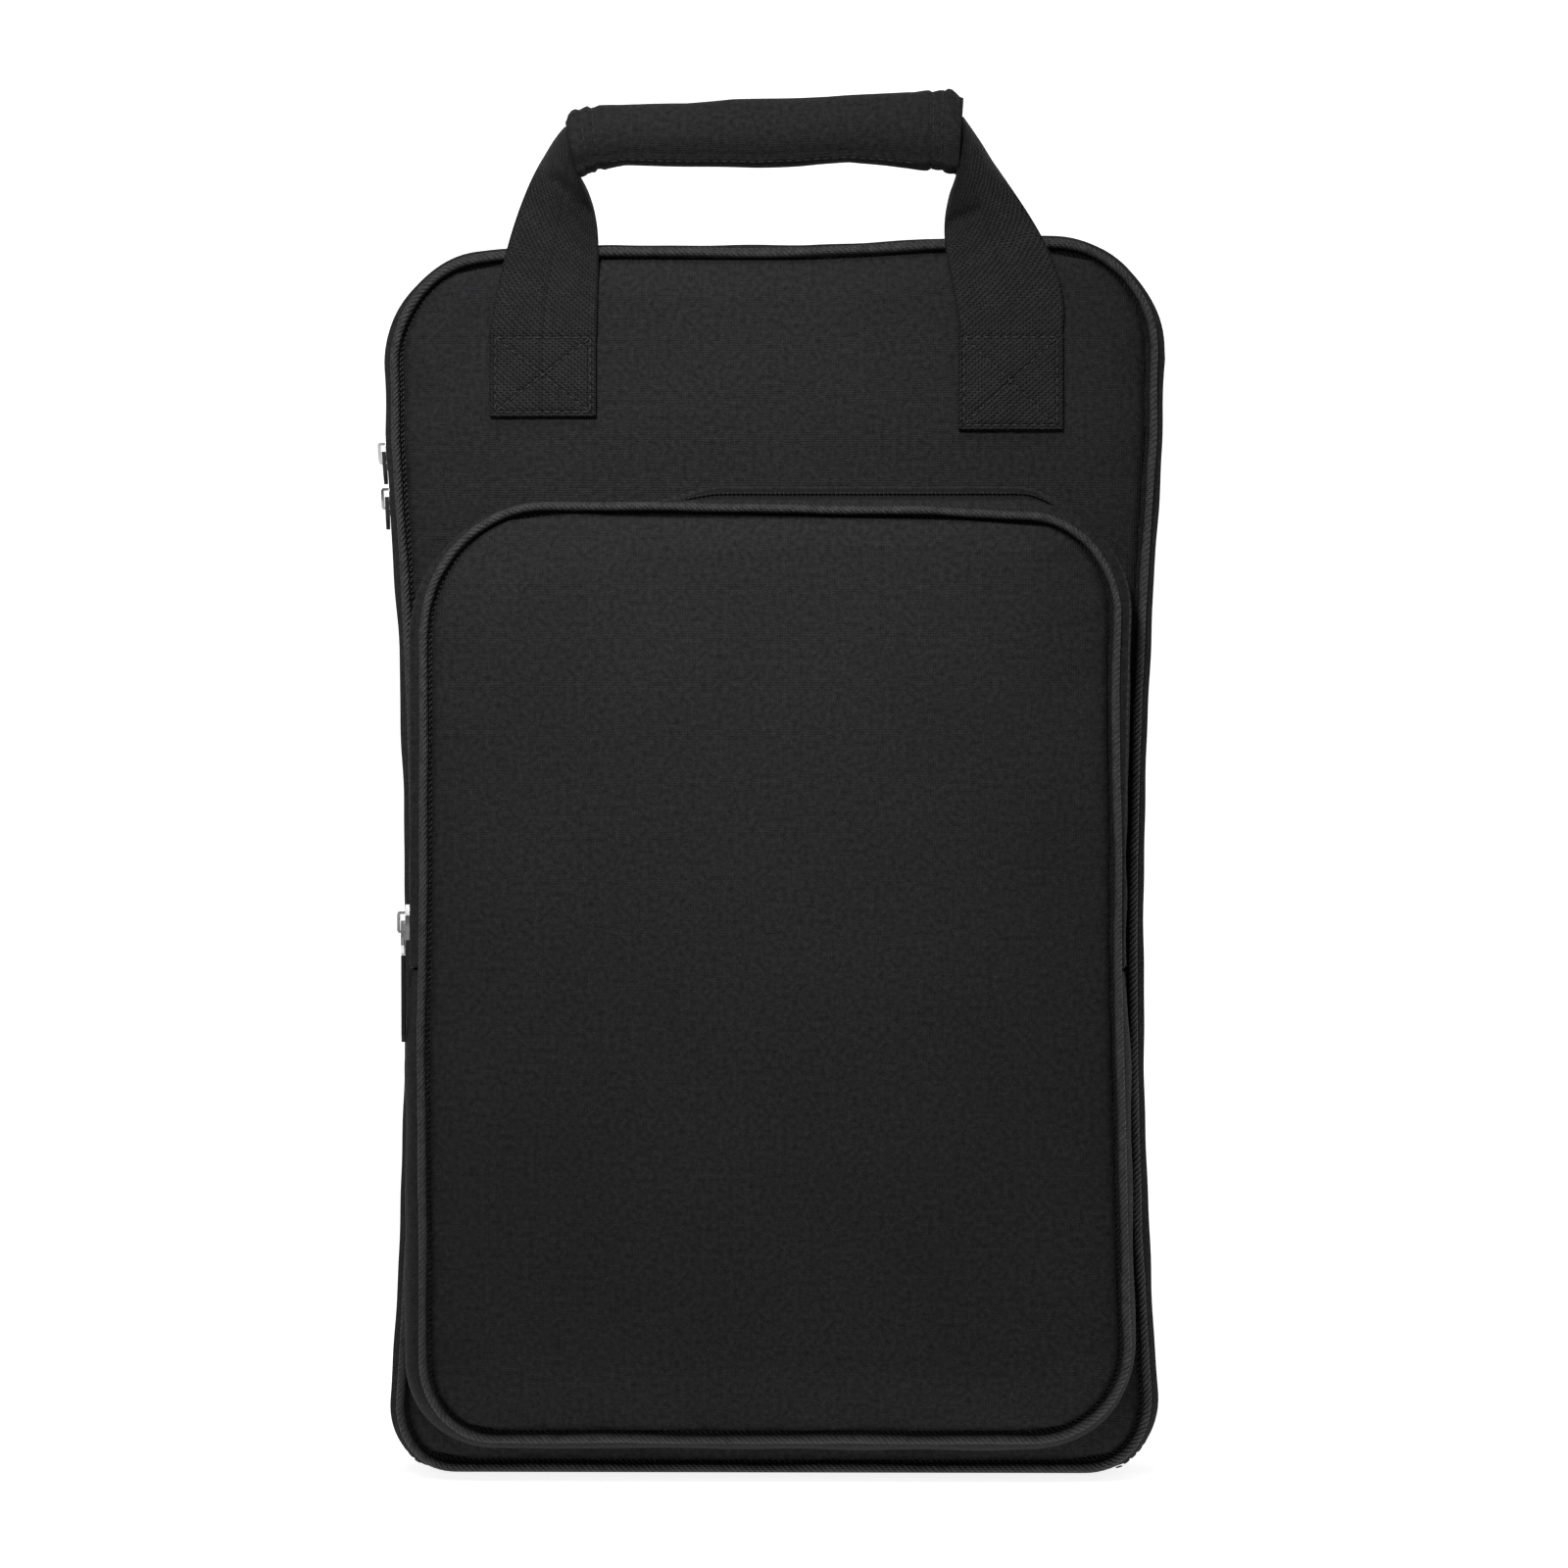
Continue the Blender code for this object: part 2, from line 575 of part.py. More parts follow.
def pocket_pull_cover(frame, hinge, top, length):
    """The long soft tab that hangs from the pocket slider's link."""
    half = 0.8 * PULL_WIDTH / 2
    outline = ((-half, top), (half, top), (half, top - length + half), (0.5 * half, top - length),
               (-0.5 * half, top - length), (-half, top - length + half))
    solid = prism_solid([(PULL_AXIS - PULL / 2, y, z) for y, z in outline], (PULL, 0, 0))
    solid.transform(frame)
    add_mesh("pocket_pull_tab", solid, RUBBER, hinge)


def side_slope(shape, z_low, z_high):
    """How much the left side leans out for each unit of height between two heights."""
    low_x, _ = waisted(shape, shape.left, z_low)
    high_x, _ = waisted(shape, shape.left, z_high)
    return (low_x - high_x) / (z_high - z_low)


def sliders(cover):
    upper_slope = side_slope(BODY, UPPER_SLIDER_Z - SLIDER_LENGTH, UPPER_SLIDER_Z + SLIDER_LENGTH)
    upper = side_frame(BODY, GUSSET_INSET, ZIP_Y, UPPER_SLIDER_Z, upper_slope)
    slider_and_pull("upper", upper, None, 11.5 * MM)
    lower_slope = side_slope(BODY, LOWER_SLIDER_Z - LOWER_SLIDER_TRAVEL, LOWER_SLIDER_Z)
    lower = side_frame(BODY, GUSSET_INSET, ZIP_Y, LOWER_SLIDER_Z, lower_slope)
    slider_and_pull("lower", lower, None, 11.5 * MM)
    pocket_slope = side_slope(POCKET, POCKET_SLIDER_Z, POCKET_SLIDER_Z + 95 * MM)
    pocket = side_frame(POCKET, POCKET_PIPING_RADIUS, POCKET_ZIP_Y, POCKET_SLIDER_Z, pocket_slope)
    link = 12 * MM
    hinge = slider_and_pull("pocket", pocket, cover, link)
    pocket_pull_cover(pocket, hinge, -link - GAP, 32 * MM)


def main():
    for existing in list(bpy.data.objects):
        bpy.data.objects.remove(existing)
    rear_shell()
    hinge_side()
    stick_sleeve()
    cover = add_pivot("cover_axis", (HINGE_X, ZIP_Y, 0))
    front_cover(cover)
    pocket_on_cover(cover)
    flap = add_pivot("pocket_flap_axis", (0, POCKET_Y - 2 * GAP, POCKET_FOLD_Z), cover)
    pocket_flap(flap)
    handle = add_pivot("handle_axis", (0, WEB_FRONT_Y - GAP, HANDLE_Z), cover)
    webbing(LEFT_LEG, cover, handle)
    webbing(RIGHT_LEG, cover, handle)
    grip(handle)
    sliders(cover)


main()
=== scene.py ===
import json
import math

import bmesh
import bpy
import numpy as np
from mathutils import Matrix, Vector


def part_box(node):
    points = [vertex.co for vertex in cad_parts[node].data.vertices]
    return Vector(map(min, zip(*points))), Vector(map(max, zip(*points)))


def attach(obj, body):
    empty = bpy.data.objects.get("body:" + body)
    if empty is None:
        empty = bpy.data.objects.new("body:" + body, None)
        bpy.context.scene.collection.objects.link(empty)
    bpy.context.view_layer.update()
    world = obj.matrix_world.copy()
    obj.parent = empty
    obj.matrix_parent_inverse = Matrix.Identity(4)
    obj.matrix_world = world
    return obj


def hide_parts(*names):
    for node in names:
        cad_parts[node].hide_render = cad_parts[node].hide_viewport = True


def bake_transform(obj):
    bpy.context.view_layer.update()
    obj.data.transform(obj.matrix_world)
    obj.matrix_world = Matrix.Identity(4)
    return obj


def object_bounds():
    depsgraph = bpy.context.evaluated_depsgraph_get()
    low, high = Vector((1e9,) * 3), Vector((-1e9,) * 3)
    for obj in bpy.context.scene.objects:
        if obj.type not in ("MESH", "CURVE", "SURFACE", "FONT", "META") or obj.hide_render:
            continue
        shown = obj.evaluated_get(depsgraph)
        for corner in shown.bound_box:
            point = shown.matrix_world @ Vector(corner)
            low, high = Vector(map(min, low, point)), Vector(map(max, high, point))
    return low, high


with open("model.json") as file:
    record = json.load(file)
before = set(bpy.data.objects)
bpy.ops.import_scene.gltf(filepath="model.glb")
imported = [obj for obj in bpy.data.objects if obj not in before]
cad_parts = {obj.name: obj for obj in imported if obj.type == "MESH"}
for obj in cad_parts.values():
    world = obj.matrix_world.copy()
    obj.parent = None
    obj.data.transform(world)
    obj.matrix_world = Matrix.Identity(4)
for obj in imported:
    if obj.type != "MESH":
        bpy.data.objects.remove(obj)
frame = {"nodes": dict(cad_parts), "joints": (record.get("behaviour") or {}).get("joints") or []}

# Looks of a drum stick bag: padded panels, piping, zips, webbing handle and stitching.
# Metres, +Z up, the front faces -Y. Outlines repeat the CAD's rounded, waisted rectangles.

MM = 0.001
cad_box = [list(corner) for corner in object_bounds()]

GUSSET_INSET = 2.5 * MM
POCKET_GUSSET_INSET = 2.3 * MM
FABRIC = 1.2 * MM
RING_STEP = 2.5 * MM
CORD = 1.75 * MM                     # radius of the piping
CORD_DEPTH = 2.1 * MM                # from a panel's face back to the piping's centre
WAIST_Z = 195 * MM
WAIST_SPAN = 220 * MM
FRONT_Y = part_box("front_panel")[0].y
BACK_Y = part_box("back_panel")[1].y
POCKET_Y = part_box("pocket_lower_panel")[0].y
ZIP_Y = (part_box("front_zip_coil")[1].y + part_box("rear_zip_coil")[0].y) / 2
POCKET_ZIP_Y = (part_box("pocket_front_coil")[1].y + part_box("pocket_rear_coil")[0].y) / 2
JOINTS = {joint["name"]: joint for joint in frame["joints"]}
FOLD_Z = JOINTS["pocket_fold"]["pos_m"][2]
HANDLE_Z = JOINTS["handle_fold"]["pos_m"][2]
COVER = "front_cover"
SHELL = "rear_shell"
FLAP = "pocket_flap"
HANDLE = "handle"


def unit(value):
    """A value held between 0 and 1."""
    return np.clip(value, 0, 1)


def eased(value):
    """0 to 1 with a soft start and a soft end, as value goes from 0 to 1."""
    value = unit(value)
    return value * value * (3 - 2 * value)


def joined(*values):
    """Values side by side along a new last axis, such as coordinates into points."""
    return np.stack(values, axis=-1)


def deep(places, y):
    """Places (x, z) at depths y, as points in XYZ."""
    return joined(places[..., 0], y, places[..., 1])


def lay_grid(rows, columns):
    """The flat coordinates of a lattice, from those of its rows and those of its columns."""
    return joined(*np.meshgrid(rows, columns, indexing="ij"))


def running_length(points):
    """The length along a line at each of its points."""
    return np.concatenate([[0], np.cumsum(np.linalg.norm(np.diff(points, axis=0), axis=1))])


# Outlines ------------------------------------------------------------------

def waisted(points, left_waist, right_waist):
    """Draws straight sides in towards the waist."""
    away = np.minimum(((points[:, 1] - WAIST_Z) / WAIST_SPAN) ** 2, 1.0)
    depth = np.where(points[:, 0] < 0, left_waist, right_waist)
    return joined(points[:, 0] * (1 - depth * (1 - away)), points[:, 1])


def outline(left, right, bottom, top, radii, waists):
    """Points of a rounded, waisted rectangle in XZ, counter-clockwise from the top of the right side."""
    corners = [(right, top, radii[1], 0), (left, top, radii[0], 90),
               (left, bottom, radii[2], 180), (right, bottom, radii[3], 270)]
    path = []
    for x, z, radius, start in corners:
        centre_x = x - math.copysign(radius, x)
        centre_z = z + (radius if z == bottom else -radius)
        turns = np.radians(start + np.linspace(0, 90, 40))
        path.append(joined(centre_x + radius * np.cos(turns), centre_z + radius * np.sin(turns)))
    dense = []
    for here, after in zip(path, path[1:] + path[:1]):
        steps = np.linspace(0, 1, 200)[1:-1, None]
        dense += [here, here[-1] + (after[0] - here[-1]) * steps]
    return waisted(np.concatenate(dense), *waists)


def seam_inset(normals, amounts):
    """How far inside the outline the piping runs, by which way the outline faces."""
    top, sides, bottom = amounts
    x, z = normals.T
    return sides * x * x + np.where(z > 0, top, bottom) * z * z


# How much higher or lower than level the bag's top line lies, by x, in millimetres.
TOP_LINE = ((-140, -4.4), (-108, -4.5), (-100, -3.8), (-60, -2.4), (-32, -2.5), (12, -2.6), (34, -1.6),
            (56, -0.2), (99, 0.8), (121, 0.0))
TOP_CORNER = 2.2 * MM                # how far the top corners draw in
LEVEL_PIECES = ("left_", "right_", "grip_", "studio_")


def sunk_top(name, points):
    """The bag's top sinks toward its left end and its top corners draw in; level pieces stay as they are."""
    points = np.asarray(points, dtype=float)
    if name.startswith(LEVEL_PIECES):
        return points
    x, y, z = points.T
    shift = eased((z / MM - 375) / 60) * np.interp(x / MM, *np.array(TOP_LINE).T) * MM
    corner = TOP_CORNER * eased((z / MM - 380) / 36) * unit((np.abs(x) / MM - 100) / 35)
    return joined(x - np.sign(x) * corner, y, z + shift)


def no_droop(points, normals):
    """An even line, which droops nowhere."""
    return np.zeros(len(points))


# How far the pocket's piping is drawn in from its even line: along the top by x, down the sides by z.
TOP_DROOP = ((-45, 0.0), (-15, 0.7), (15, 1.3), (60, 1.7), (90, 3.5), (125, 3.5))
LEFT_DROOP = ((80, 2.2), (103, 1.7), (169, 1.3), (191, 1.8), (213, 2.1), (300, 2.4))
RIGHT_DROOP = ((80, -1.8), (125, -1.7), (147, -1.4), (169, -1.0), (191, -0.6), (234, -0.4), (278, 1.0),
               (300, 1.6))


def pocket_droop(points, normals):
    """How far inside its even line the pocket's piping runs at each point."""
    x, z = points.T / MM
    drop, left, right = (np.interp(place, *np.array(table).T) * MM
                         for place, table in ((x, TOP_DROOP), (z, LEFT_DROOP), (z, RIGHT_DROOP)))
    sides = left * unit(-normals[:, 0]) ** 2 + right * unit(normals[:, 0]) ** 2
    return drop * unit(normals[:, 1]) + sides


class Ring:
    """A closed outline in XZ, measured by its length."""

    def __init__(self, line):
        line = np.concatenate([line, line[:1]])
        along = running_length(line)
        self.perimeter = along[-1]
        count = int(self.perimeter / (1.5 * MM))
        self.s = np.arange(count) * self.perimeter / count
        self.points = joined(*(np.interp(self.s, along, values) for values in line.T))
        tangent = np.roll(self.points, -2, axis=0) - np.roll(self.points, 2, axis=0)
        tangent /= np.linalg.norm(tangent, axis=1)[:, None]
        self.normals = joined(tangent[:, 1], -tangent[:, 0])

    def drawn_in(self, amounts, droop=no_droop):
        """The outline moved inward, by amounts for its top, its sides and its bottom."""
        inset = seam_inset(self.normals, amounts) + droop(self.points, self.normals)
        return Ring(self.points - self.normals * inset[:, None])

    def at(self, s):
        """Points and outward normals at lengths s, which may run past either end."""
        wrap = [np.interp(s, self.s, values, period=self.perimeter)
                for values in (*self.points.T, *self.normals.T)]
        normals = joined(*wrap[2:])
        return joined(*wrap[:2]), normals / np.linalg.norm(normals, axis=1)[:, None]

    def place(self, z, right):
        """The length at which a side passes height z."""
        side = (self.normals[:, 0] > 0) == right
        return self.s[np.where(side, np.abs(self.points[:, 1] - z), np.inf).argmin()]

    def extent(self, z, inset):
        """The left and right x of the outline, drawn in by inset, at heights z."""
        line = self.points - self.normals * inset
        sides = []
        for sign in (-1, 1):
            part = line[self.normals[:, 0] * sign > 0]
            part = part[part[:, 1].argsort()]
            sides.append(np.interp(z, part[:, 1], part[:, 0]))
        return sides

    def depth(self, points):
        """How far inside the outline each (x, z) is."""
        near = np.full(len(points), np.inf)
        for start in range(0, len(self.points), 64):
            block = self.points[start:start + 64]
            near = np.minimum(near, np.linalg.norm(points[:, None] - block[None], axis=2).min(axis=1))
        return near


# Corner radii run from the upper left to the upper right, the lower left and the lower right.
BODY = Ring(outline(-147 * MM, 147.3 * MM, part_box("front_piping")[0].z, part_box("front_piping")[1].z,
                    np.array([42, 42, 27, 30]) * MM, (0.066, 0.066)))
POCKET = Ring(outline(-135.5 * MM, 136.8 * MM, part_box("pocket_lower_piping")[0].z,
                      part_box("pocket_upper_piping")[1].z, np.array([52, 42, 33, 40]) * MM, (0.006, 0.043)))
# The piping's insets at an outline's top, sides and bottom.
BODY_SEAM = (2.6 * MM, 4.2 * MM, 2.2 * MM)
POCKET_SEAM = (2.2 * MM, 4.4 * MM, 3.8 * MM)
BODY_CORD = BODY.drawn_in(BODY_SEAM)
POCKET_CORD = POCKET.drawn_in(POCKET_SEAM, pocket_droop)
SPLIT_RIGHT = POCKET.place(FOLD_Z, True) - POCKET.perimeter
SPLIT_LEFT = POCKET.place(FOLD_Z, False)
ZIP_END = BODY.place(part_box("hinge_gusset")[0].z - 6 * MM, True)


def ripple(points, scale, seed):
    """Smooth noise between about -1 and 1: a few seeded waves of about that wavelength."""
    random = np.random.default_rng(seed)
    total = np.zeros(len(points))
    for _ in range(7):
        direction = random.normal(size=points.shape[1])
        direction /= np.linalg.norm(direction)
        stretch = random.uniform(0.6, 1.7)
        total += np.sin(points @ direction * 2 * math.pi / (scale * stretch) + random.uniform(0, 6.3))
    return total / 3.5


# Meshes --------------------------------------------------------------------

def make_object(name, vertices, faces, lay=None):
    """A mesh object; lay gives each face corner its place on the flat cloth, in metres."""
    mesh = bpy.data.meshes.new(name)
    mesh.from_pydata(sunk_top(name, vertices).tolist(), [], np.asarray(faces).tolist())
    if lay is not None:
        layer = mesh.uv_layers.new(name="lay")
        layer.data.foreach_set("uv", np.asarray(lay, np.float32).ravel())
    mesh.shade_smooth()
    mesh.validate()
    piece = bpy.data.objects.new(name, mesh)
    bpy.context.scene.collection.objects.link(piece)
    return piece


def lattice(name, points, lay, wrap_rows=False, wrap_columns=True, caps=False):
    """Rows and columns of points as quads. lay has one more row or column where that way wraps."""
    rows, columns = points.shape[:2]
    row = np.arange(rows if wrap_rows else rows - 1)
    column = np.arange(columns if wrap_columns else columns - 1)
    i, j = [grid.ravel() for grid in np.meshgrid(row, column, indexing="ij")]
    i_next, j_next = i + 1, j + 1
    faces = joined(i * columns + j, i * columns + j_next % columns,
                   (i_next % rows) * columns + j_next % columns, (i_next % rows) * columns + j)
    corner_lay = np.stack([lay[i, j], lay[i, j_next], lay[i_next, j_next], lay[i_next, j]], axis=1)
    piece = make_object(name, points.reshape(-1, 3), faces, corner_lay.reshape(-1, 2))
    ends = [range(columns), range((rows - 1) * columns, rows * columns)] if caps else []
    return outward(piece, ends)


def outward(piece, ends=()):
    """Closes a piece with one face over each of its ends, and turns its faces outward."""
    solid = bmesh.new()
    solid.from_mesh(piece.data)
    solid.verts.ensure_lookup_table()
    for end in ends:
        solid.faces.new([solid.verts[index] for index in end])
    bmesh.ops.recalc_face_normals(solid, faces=solid.faces)
    solid.to_mesh(piece.data)
    solid.free()
    return piece


def scatter(name, template, faces, origins, axes):
    """One mesh of many copies of a small shape; axes holds three row vectors for each copy."""
    template = np.asarray(template, float)
    vertices = origins[:, None, :] + np.einsum("vk,nkx->nvx", template, axes)
    offsets = np.arange(len(origins)) * len(template)
    piece_faces = (np.asarray(faces)[None] + offsets[:, None, None]).reshape(-1, len(faces[0]))
    return outward(make_object(name, vertices.reshape(-1, 3), piece_faces))


def bead(rings, sides=6):
    """A closed rod along its first axis: rings of (x, half height, half width), its ends drawn to tips."""
    turns = 2 * math.pi * np.arange(sides) / sides
    vertices = [(x, half_height * math.cos(turn), half_width * math.sin(turn))
                for x, half_height, half_width in rings for turn in turns]
    faces = []
    for ring in range(len(rings) - 1):
        for side in range(sides):
            after = (side + 1) % sides
            faces.append((ring * sides + side, (ring + 1) * sides + side,
                          (ring + 1) * sides + after, ring * sides + after))
    for first in (0, (len(rings) - 1) * sides):
        faces += [(first, first + 1, first + 2, first + 3), (first, first + 3, first + 4, first + 5)]
    return vertices, faces


def frames_along(line, normals):
    """Axes (along, out, across) at each point of a line."""
    tangent = np.gradient(line, axis=0)
    tangent /= np.linalg.norm(tangent, axis=1)[:, None]
    across = np.cross(tangent, normals)
    across /= np.linalg.norm(across, axis=1)[:, None]
    return np.stack([tangent, np.cross(across, tangent), across], axis=1)


STITCH = 2.7 * MM
STITCH_GAP = 0.7 * MM
THREAD = 0.34 * MM


def stitches(name, lines, body, thread=THREAD):
    """Rows of lockstitches along 3-D lines; each line is (points, normals)."""
    origins, axes = [], []
    for points, normals in lines:
        length = running_length(points)
        count = max(1, int(length[-1] / (STITCH + STITCH_GAP)))
        at = (np.arange(count) + 0.5) * length[-1] / count
        place, normal = (joined(*(np.interp(at, length, values) for values in lines.T))
                         for lines in (points, normals))
        if count == 1:
            tangent = (points[-1] - points[0])[None]
            across = np.cross(tangent, normal)
            turned = np.stack([tangent, normal, across], axis=1)
            turned /= np.linalg.norm(turned, axis=2)[:, :, None]
        else:
            turned = frames_along(place, normal)
        origins.append(place)
        axes.append(turned)
    half = STITCH / 2
    rings = [(-half, 0.1 * thread, 0.3 * thread), (-0.8 * half, 0.75 * thread, 0.85 * thread),
             (0, thread, thread), (0.8 * half, 0.75 * thread, 0.85 * thread),
             (half, 0.1 * thread, 0.3 * thread)]
    piece = scatter(name, *bead(rings), np.concatenate(origins), np.concatenate(axes))
    dress(piece, THREAD_LOOK, body)


def dress(piece, look, body=None, nodes=()):
    """Gives a piece its material, the body that it rides on and the CAD nodes it stands for."""
    piece.data.materials.clear()
    piece.data.materials.append(look)
    if nodes:
        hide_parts(*nodes)
    if body:
        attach(piece, body)
    return piece


# Materials -----------------------------------------------------------------

class Look:
    """A Principled material built node by node."""

    def __init__(self, name, roughness=0.8, metallic=0.0, specular=0.5):
        self.material = bpy.data.materials.new(name)
        self.material.use_nodes = True
        self.tree = self.material.node_tree
        self.shader = self.tree.nodes["Principled BSDF"]
        self.shader.inputs["Roughness"].default_value = roughness
        self.shader.inputs["Metallic"].default_value = metallic
        self.shader.inputs["Specular IOR Level"].default_value = specular

    def node(self, kind, inputs, **settings):
        """A node with its settings, and its inputs linked or set."""
        node = self.tree.nodes.new("ShaderNode" + kind)
        for name, value in settings.items():
            setattr(node, name, value)
        for name, value in inputs.items():
            if hasattr(value, "is_output"):
                self.tree.links.new(value, node.inputs[name])
            else:
                node.inputs[name].default_value = value
        return node

    def math(self, operation, *values):
        return self.node("Math", dict(enumerate(values)), operation=operation).outputs[0]

    def product(self, first, *others):
        for other in others:
            first = self.math("MULTIPLY", first, other)
        return first

    def add(self, first, second):
        return self.math("ADD", first, second)

    def wave(self, value, length):
        """A sine wave along a value, -1 to 1."""
        return self.math("SINE", self.product(value, 2 * math.pi / length))

    def ridges(self, value, pitch):
        """Rounded ridges along a value, 0 to 1."""
        return self.math("ABSOLUTE", self.wave(value, 2 * pitch))

    def lay(self):
        """The cloth's own flat coordinates, in metres, together and as two values."""
        flat = self.node("UVMap", {}, uv_map="lay").outputs["UV"]
        split = self.node("SeparateXYZ", {0: flat})
        return flat, split.outputs["X"], split.outputs["Y"]

    def noise(self, size, detail=2.0, vector=None, rough=0.5):
        """Noise between 0 and 1 whose features are about size metres."""
        vector = vector or self.node("TexCoord", {}).outputs["Object"]
        inputs = {"Scale": 1 / size, "Detail": detail, "Roughness": rough, "Vector": vector}
        return self.node("TexNoise", inputs).outputs["Fac"]

    def ramp(self, value, low, high, from_low=0.0, from_high=1.0):
        inputs = {"Value": value, "From Min": from_low, "From Max": from_high, "To Min": low, "To Max": high}
        return self.node("MapRange", inputs).outputs["Result"]

    def tint(self, colour, amount):
        """The base colour: one colour times a changing amount."""
        grey = self.node("CombineColor", {0: amount, 1: amount, 2: amount})
        mix = self.node("Mix", {}, data_type="RGBA", blend_type="MULTIPLY")
        mix.inputs["Factor"].default_value = 1.0
        mix.inputs["A"].default_value = (*colour, 1.0)
        self.tree.links.new(grey.outputs[0], mix.inputs["B"])
        result = [output for output in mix.outputs if output.type == "RGBA"][0]
        self.tree.links.new(result, self.shader.inputs["Base Color"])

    def bump(self, height, distance):
        bump = self.node("Bump", {"Height": height, "Distance": distance, "Strength": 1.0})
        self.tree.links.new(bump.outputs["Normal"], self.shader.inputs["Normal"])

    def rough(self, value):
        self.tree.links.new(value, self.shader.inputs["Roughness"])

    def weave(self, u, v, pitch):
        """Plain weave: the height of the upper thread, 0 to 1."""
        sine_u, sine_v = self.wave(u, 2 * pitch), self.wave(v, 2 * pitch)
        over = self.product(sine_u, sine_v, 0.38)
        warp = self.product(self.math("ABSOLUTE", sine_u), self.add(over, 0.62))
        weft = self.product(self.math("ABSOLUTE", sine_v), self.math("SUBTRACT", 0.62, over))
        return self.math("MAXIMUM", warp, weft)


def cloth(name, colour, pitch, depth, mottle=0.5, roughness=0.85):
    """Woven cloth with uneven threads and soft patches."""
    look = Look(name, roughness, specular=0.14)
    flat, u, v = look.lay()
    wander = look.noise(10 * pitch, 2.0, flat)
    slub = look.noise(3.5 * pitch, 3.0, flat, 0.7)
    grain = look.noise(2.2 * pitch, 2.0, flat, 0.6)
    patches = look.noise(60 * MM)
    height = look.weave(look.add(u, look.ramp(wander, -1.2 * pitch, 1.2 * pitch)),
                        look.add(v, look.ramp(slub, -0.9 * pitch, 0.9 * pitch)), pitch)
    look.tint(colour, look.product(
        look.ramp(height, 0.78, 1.15), look.ramp(grain, 1 - mottle, 1 + mottle, 0.25, 0.75),
        look.ramp(slub, 0.95, 1.05, 0.3, 0.7), look.ramp(patches, 0.93, 1.07, 0.3, 0.7)))
    look.rough(look.ramp(height, roughness + 0.1, roughness - 0.08))
    look.bump(look.add(height, look.product(grain, 0.6)), depth)
    return look.material


def bias_piping(name, colour):
    """Cloth cut on the bias round a cord: slanting ribs, with painted shade that darkens its flanks and the
    seam and leaves its crest paler.
    """
    look = Look(name, 0.55, specular=0.4)
    flat, along, around = look.lay()
    shaky = look.add(along, look.ramp(look.noise(5 * MM, 2.0, flat), -0.8 * MM, 0.8 * MM))
    rib = look.wave(look.add(shaky, look.product(around, 0.9)), 2.1 * MM)
    fine = look.weave(along, around, 0.8 * MM)
    wear = look.noise(4.5 * MM, 3.0, flat, 0.7)
    # Painted shade and highlight: paler on the cord's front, darker down its flanks and in the seam, where
    # shade falls.
    painted_flank_shade = look.ramp(look.math("ABSOLUTE", around), 1.1, 0.2, 0.6 * MM, 2.3 * MM)
    shade = look.product(look.ramp(rib, 0.78, 1.22, -1.0), look.ramp(wear, 0.45, 1.7, 0.3, 0.7))
    look.tint(colour, look.product(shade, painted_flank_shade))
    look.rough(look.ramp(rib, 0.7, 0.48, -1.0))
    look.bump(look.add(look.product(rib, 0.5), look.product(fine, 0.7)), 0.4 * MM)
    return look.material


def twill_webbing(name, colour):
    """Webbing: slanting ribs crossed by fine cords, with a thin spine and edges darkened by painted shade.
    """
    look = Look(name, 0.7, specular=0.2)
    flat, across, along = look.lay()
    shaky = look.add(along, look.ramp(look.noise(5 * MM, 3.0, flat), -0.9 * MM, 0.9 * MM))
    twill = look.wave(look.add(shaky, look.product(across, 0.85)), 2.1 * MM)
    cords = look.ridges(across, 1.2 * MM)
    picks = look.ridges(shaky, 0.95 * MM)
    aside = look.math("ABSOLUTE", across)
    spine = look.ramp(aside, 0.35, 1.0, 0.0, 1.1 * MM)
    body = look.product(look.add(look.product(cords, 0.5), look.product(picks, 0.5)), spine)
    patches = look.noise(18 * MM, 3.0, flat, 0.6)
    grain = look.noise(2.4 * MM, 3.0, flat, 0.7)
    # The ramp on aside is painted shade: the edges darken as if shadowed where the webbing meets what lies
    # under it.
    shade = look.product(look.ramp(body, 0.55, 1.25), look.ramp(twill, 0.6, 1.4, -1.0),
                         look.ramp(aside, 1.0, 0.3, 18.4 * MM, 19.7 * MM))
    wear = look.product(look.ramp(patches, 0.8, 1.25, 0.3, 0.7), look.ramp(grain, 0.5, 1.55, 0.25, 0.75))
    look.tint(colour, look.product(shade, wear))
    look.bump(look.add(look.product(twill, 0.4), body), 0.4 * MM)
    return look.material


def grained(name, colour, size, depth, roughness, metallic=0.0, spread=0.15):
    """A smooth solid with fine grain and slight patches: metal, plastic, rubber, foam or thread."""
    look = Look(name, roughness, metallic, specular=0.3)
    fine = look.noise(size, 4.0)
    patches = look.noise(12 * size)
    look.tint(colour, look.product(look.ramp(fine, 1 - spread, 1 + spread, 0.3, 0.7),
                                   look.ramp(patches, 0.93, 1.07, 0.3, 0.7)))
    look.rough(look.ramp(patches, roughness - 0.08, roughness + 0.12, 0.3, 0.7))
    look.bump(fine, depth)
    return look.material


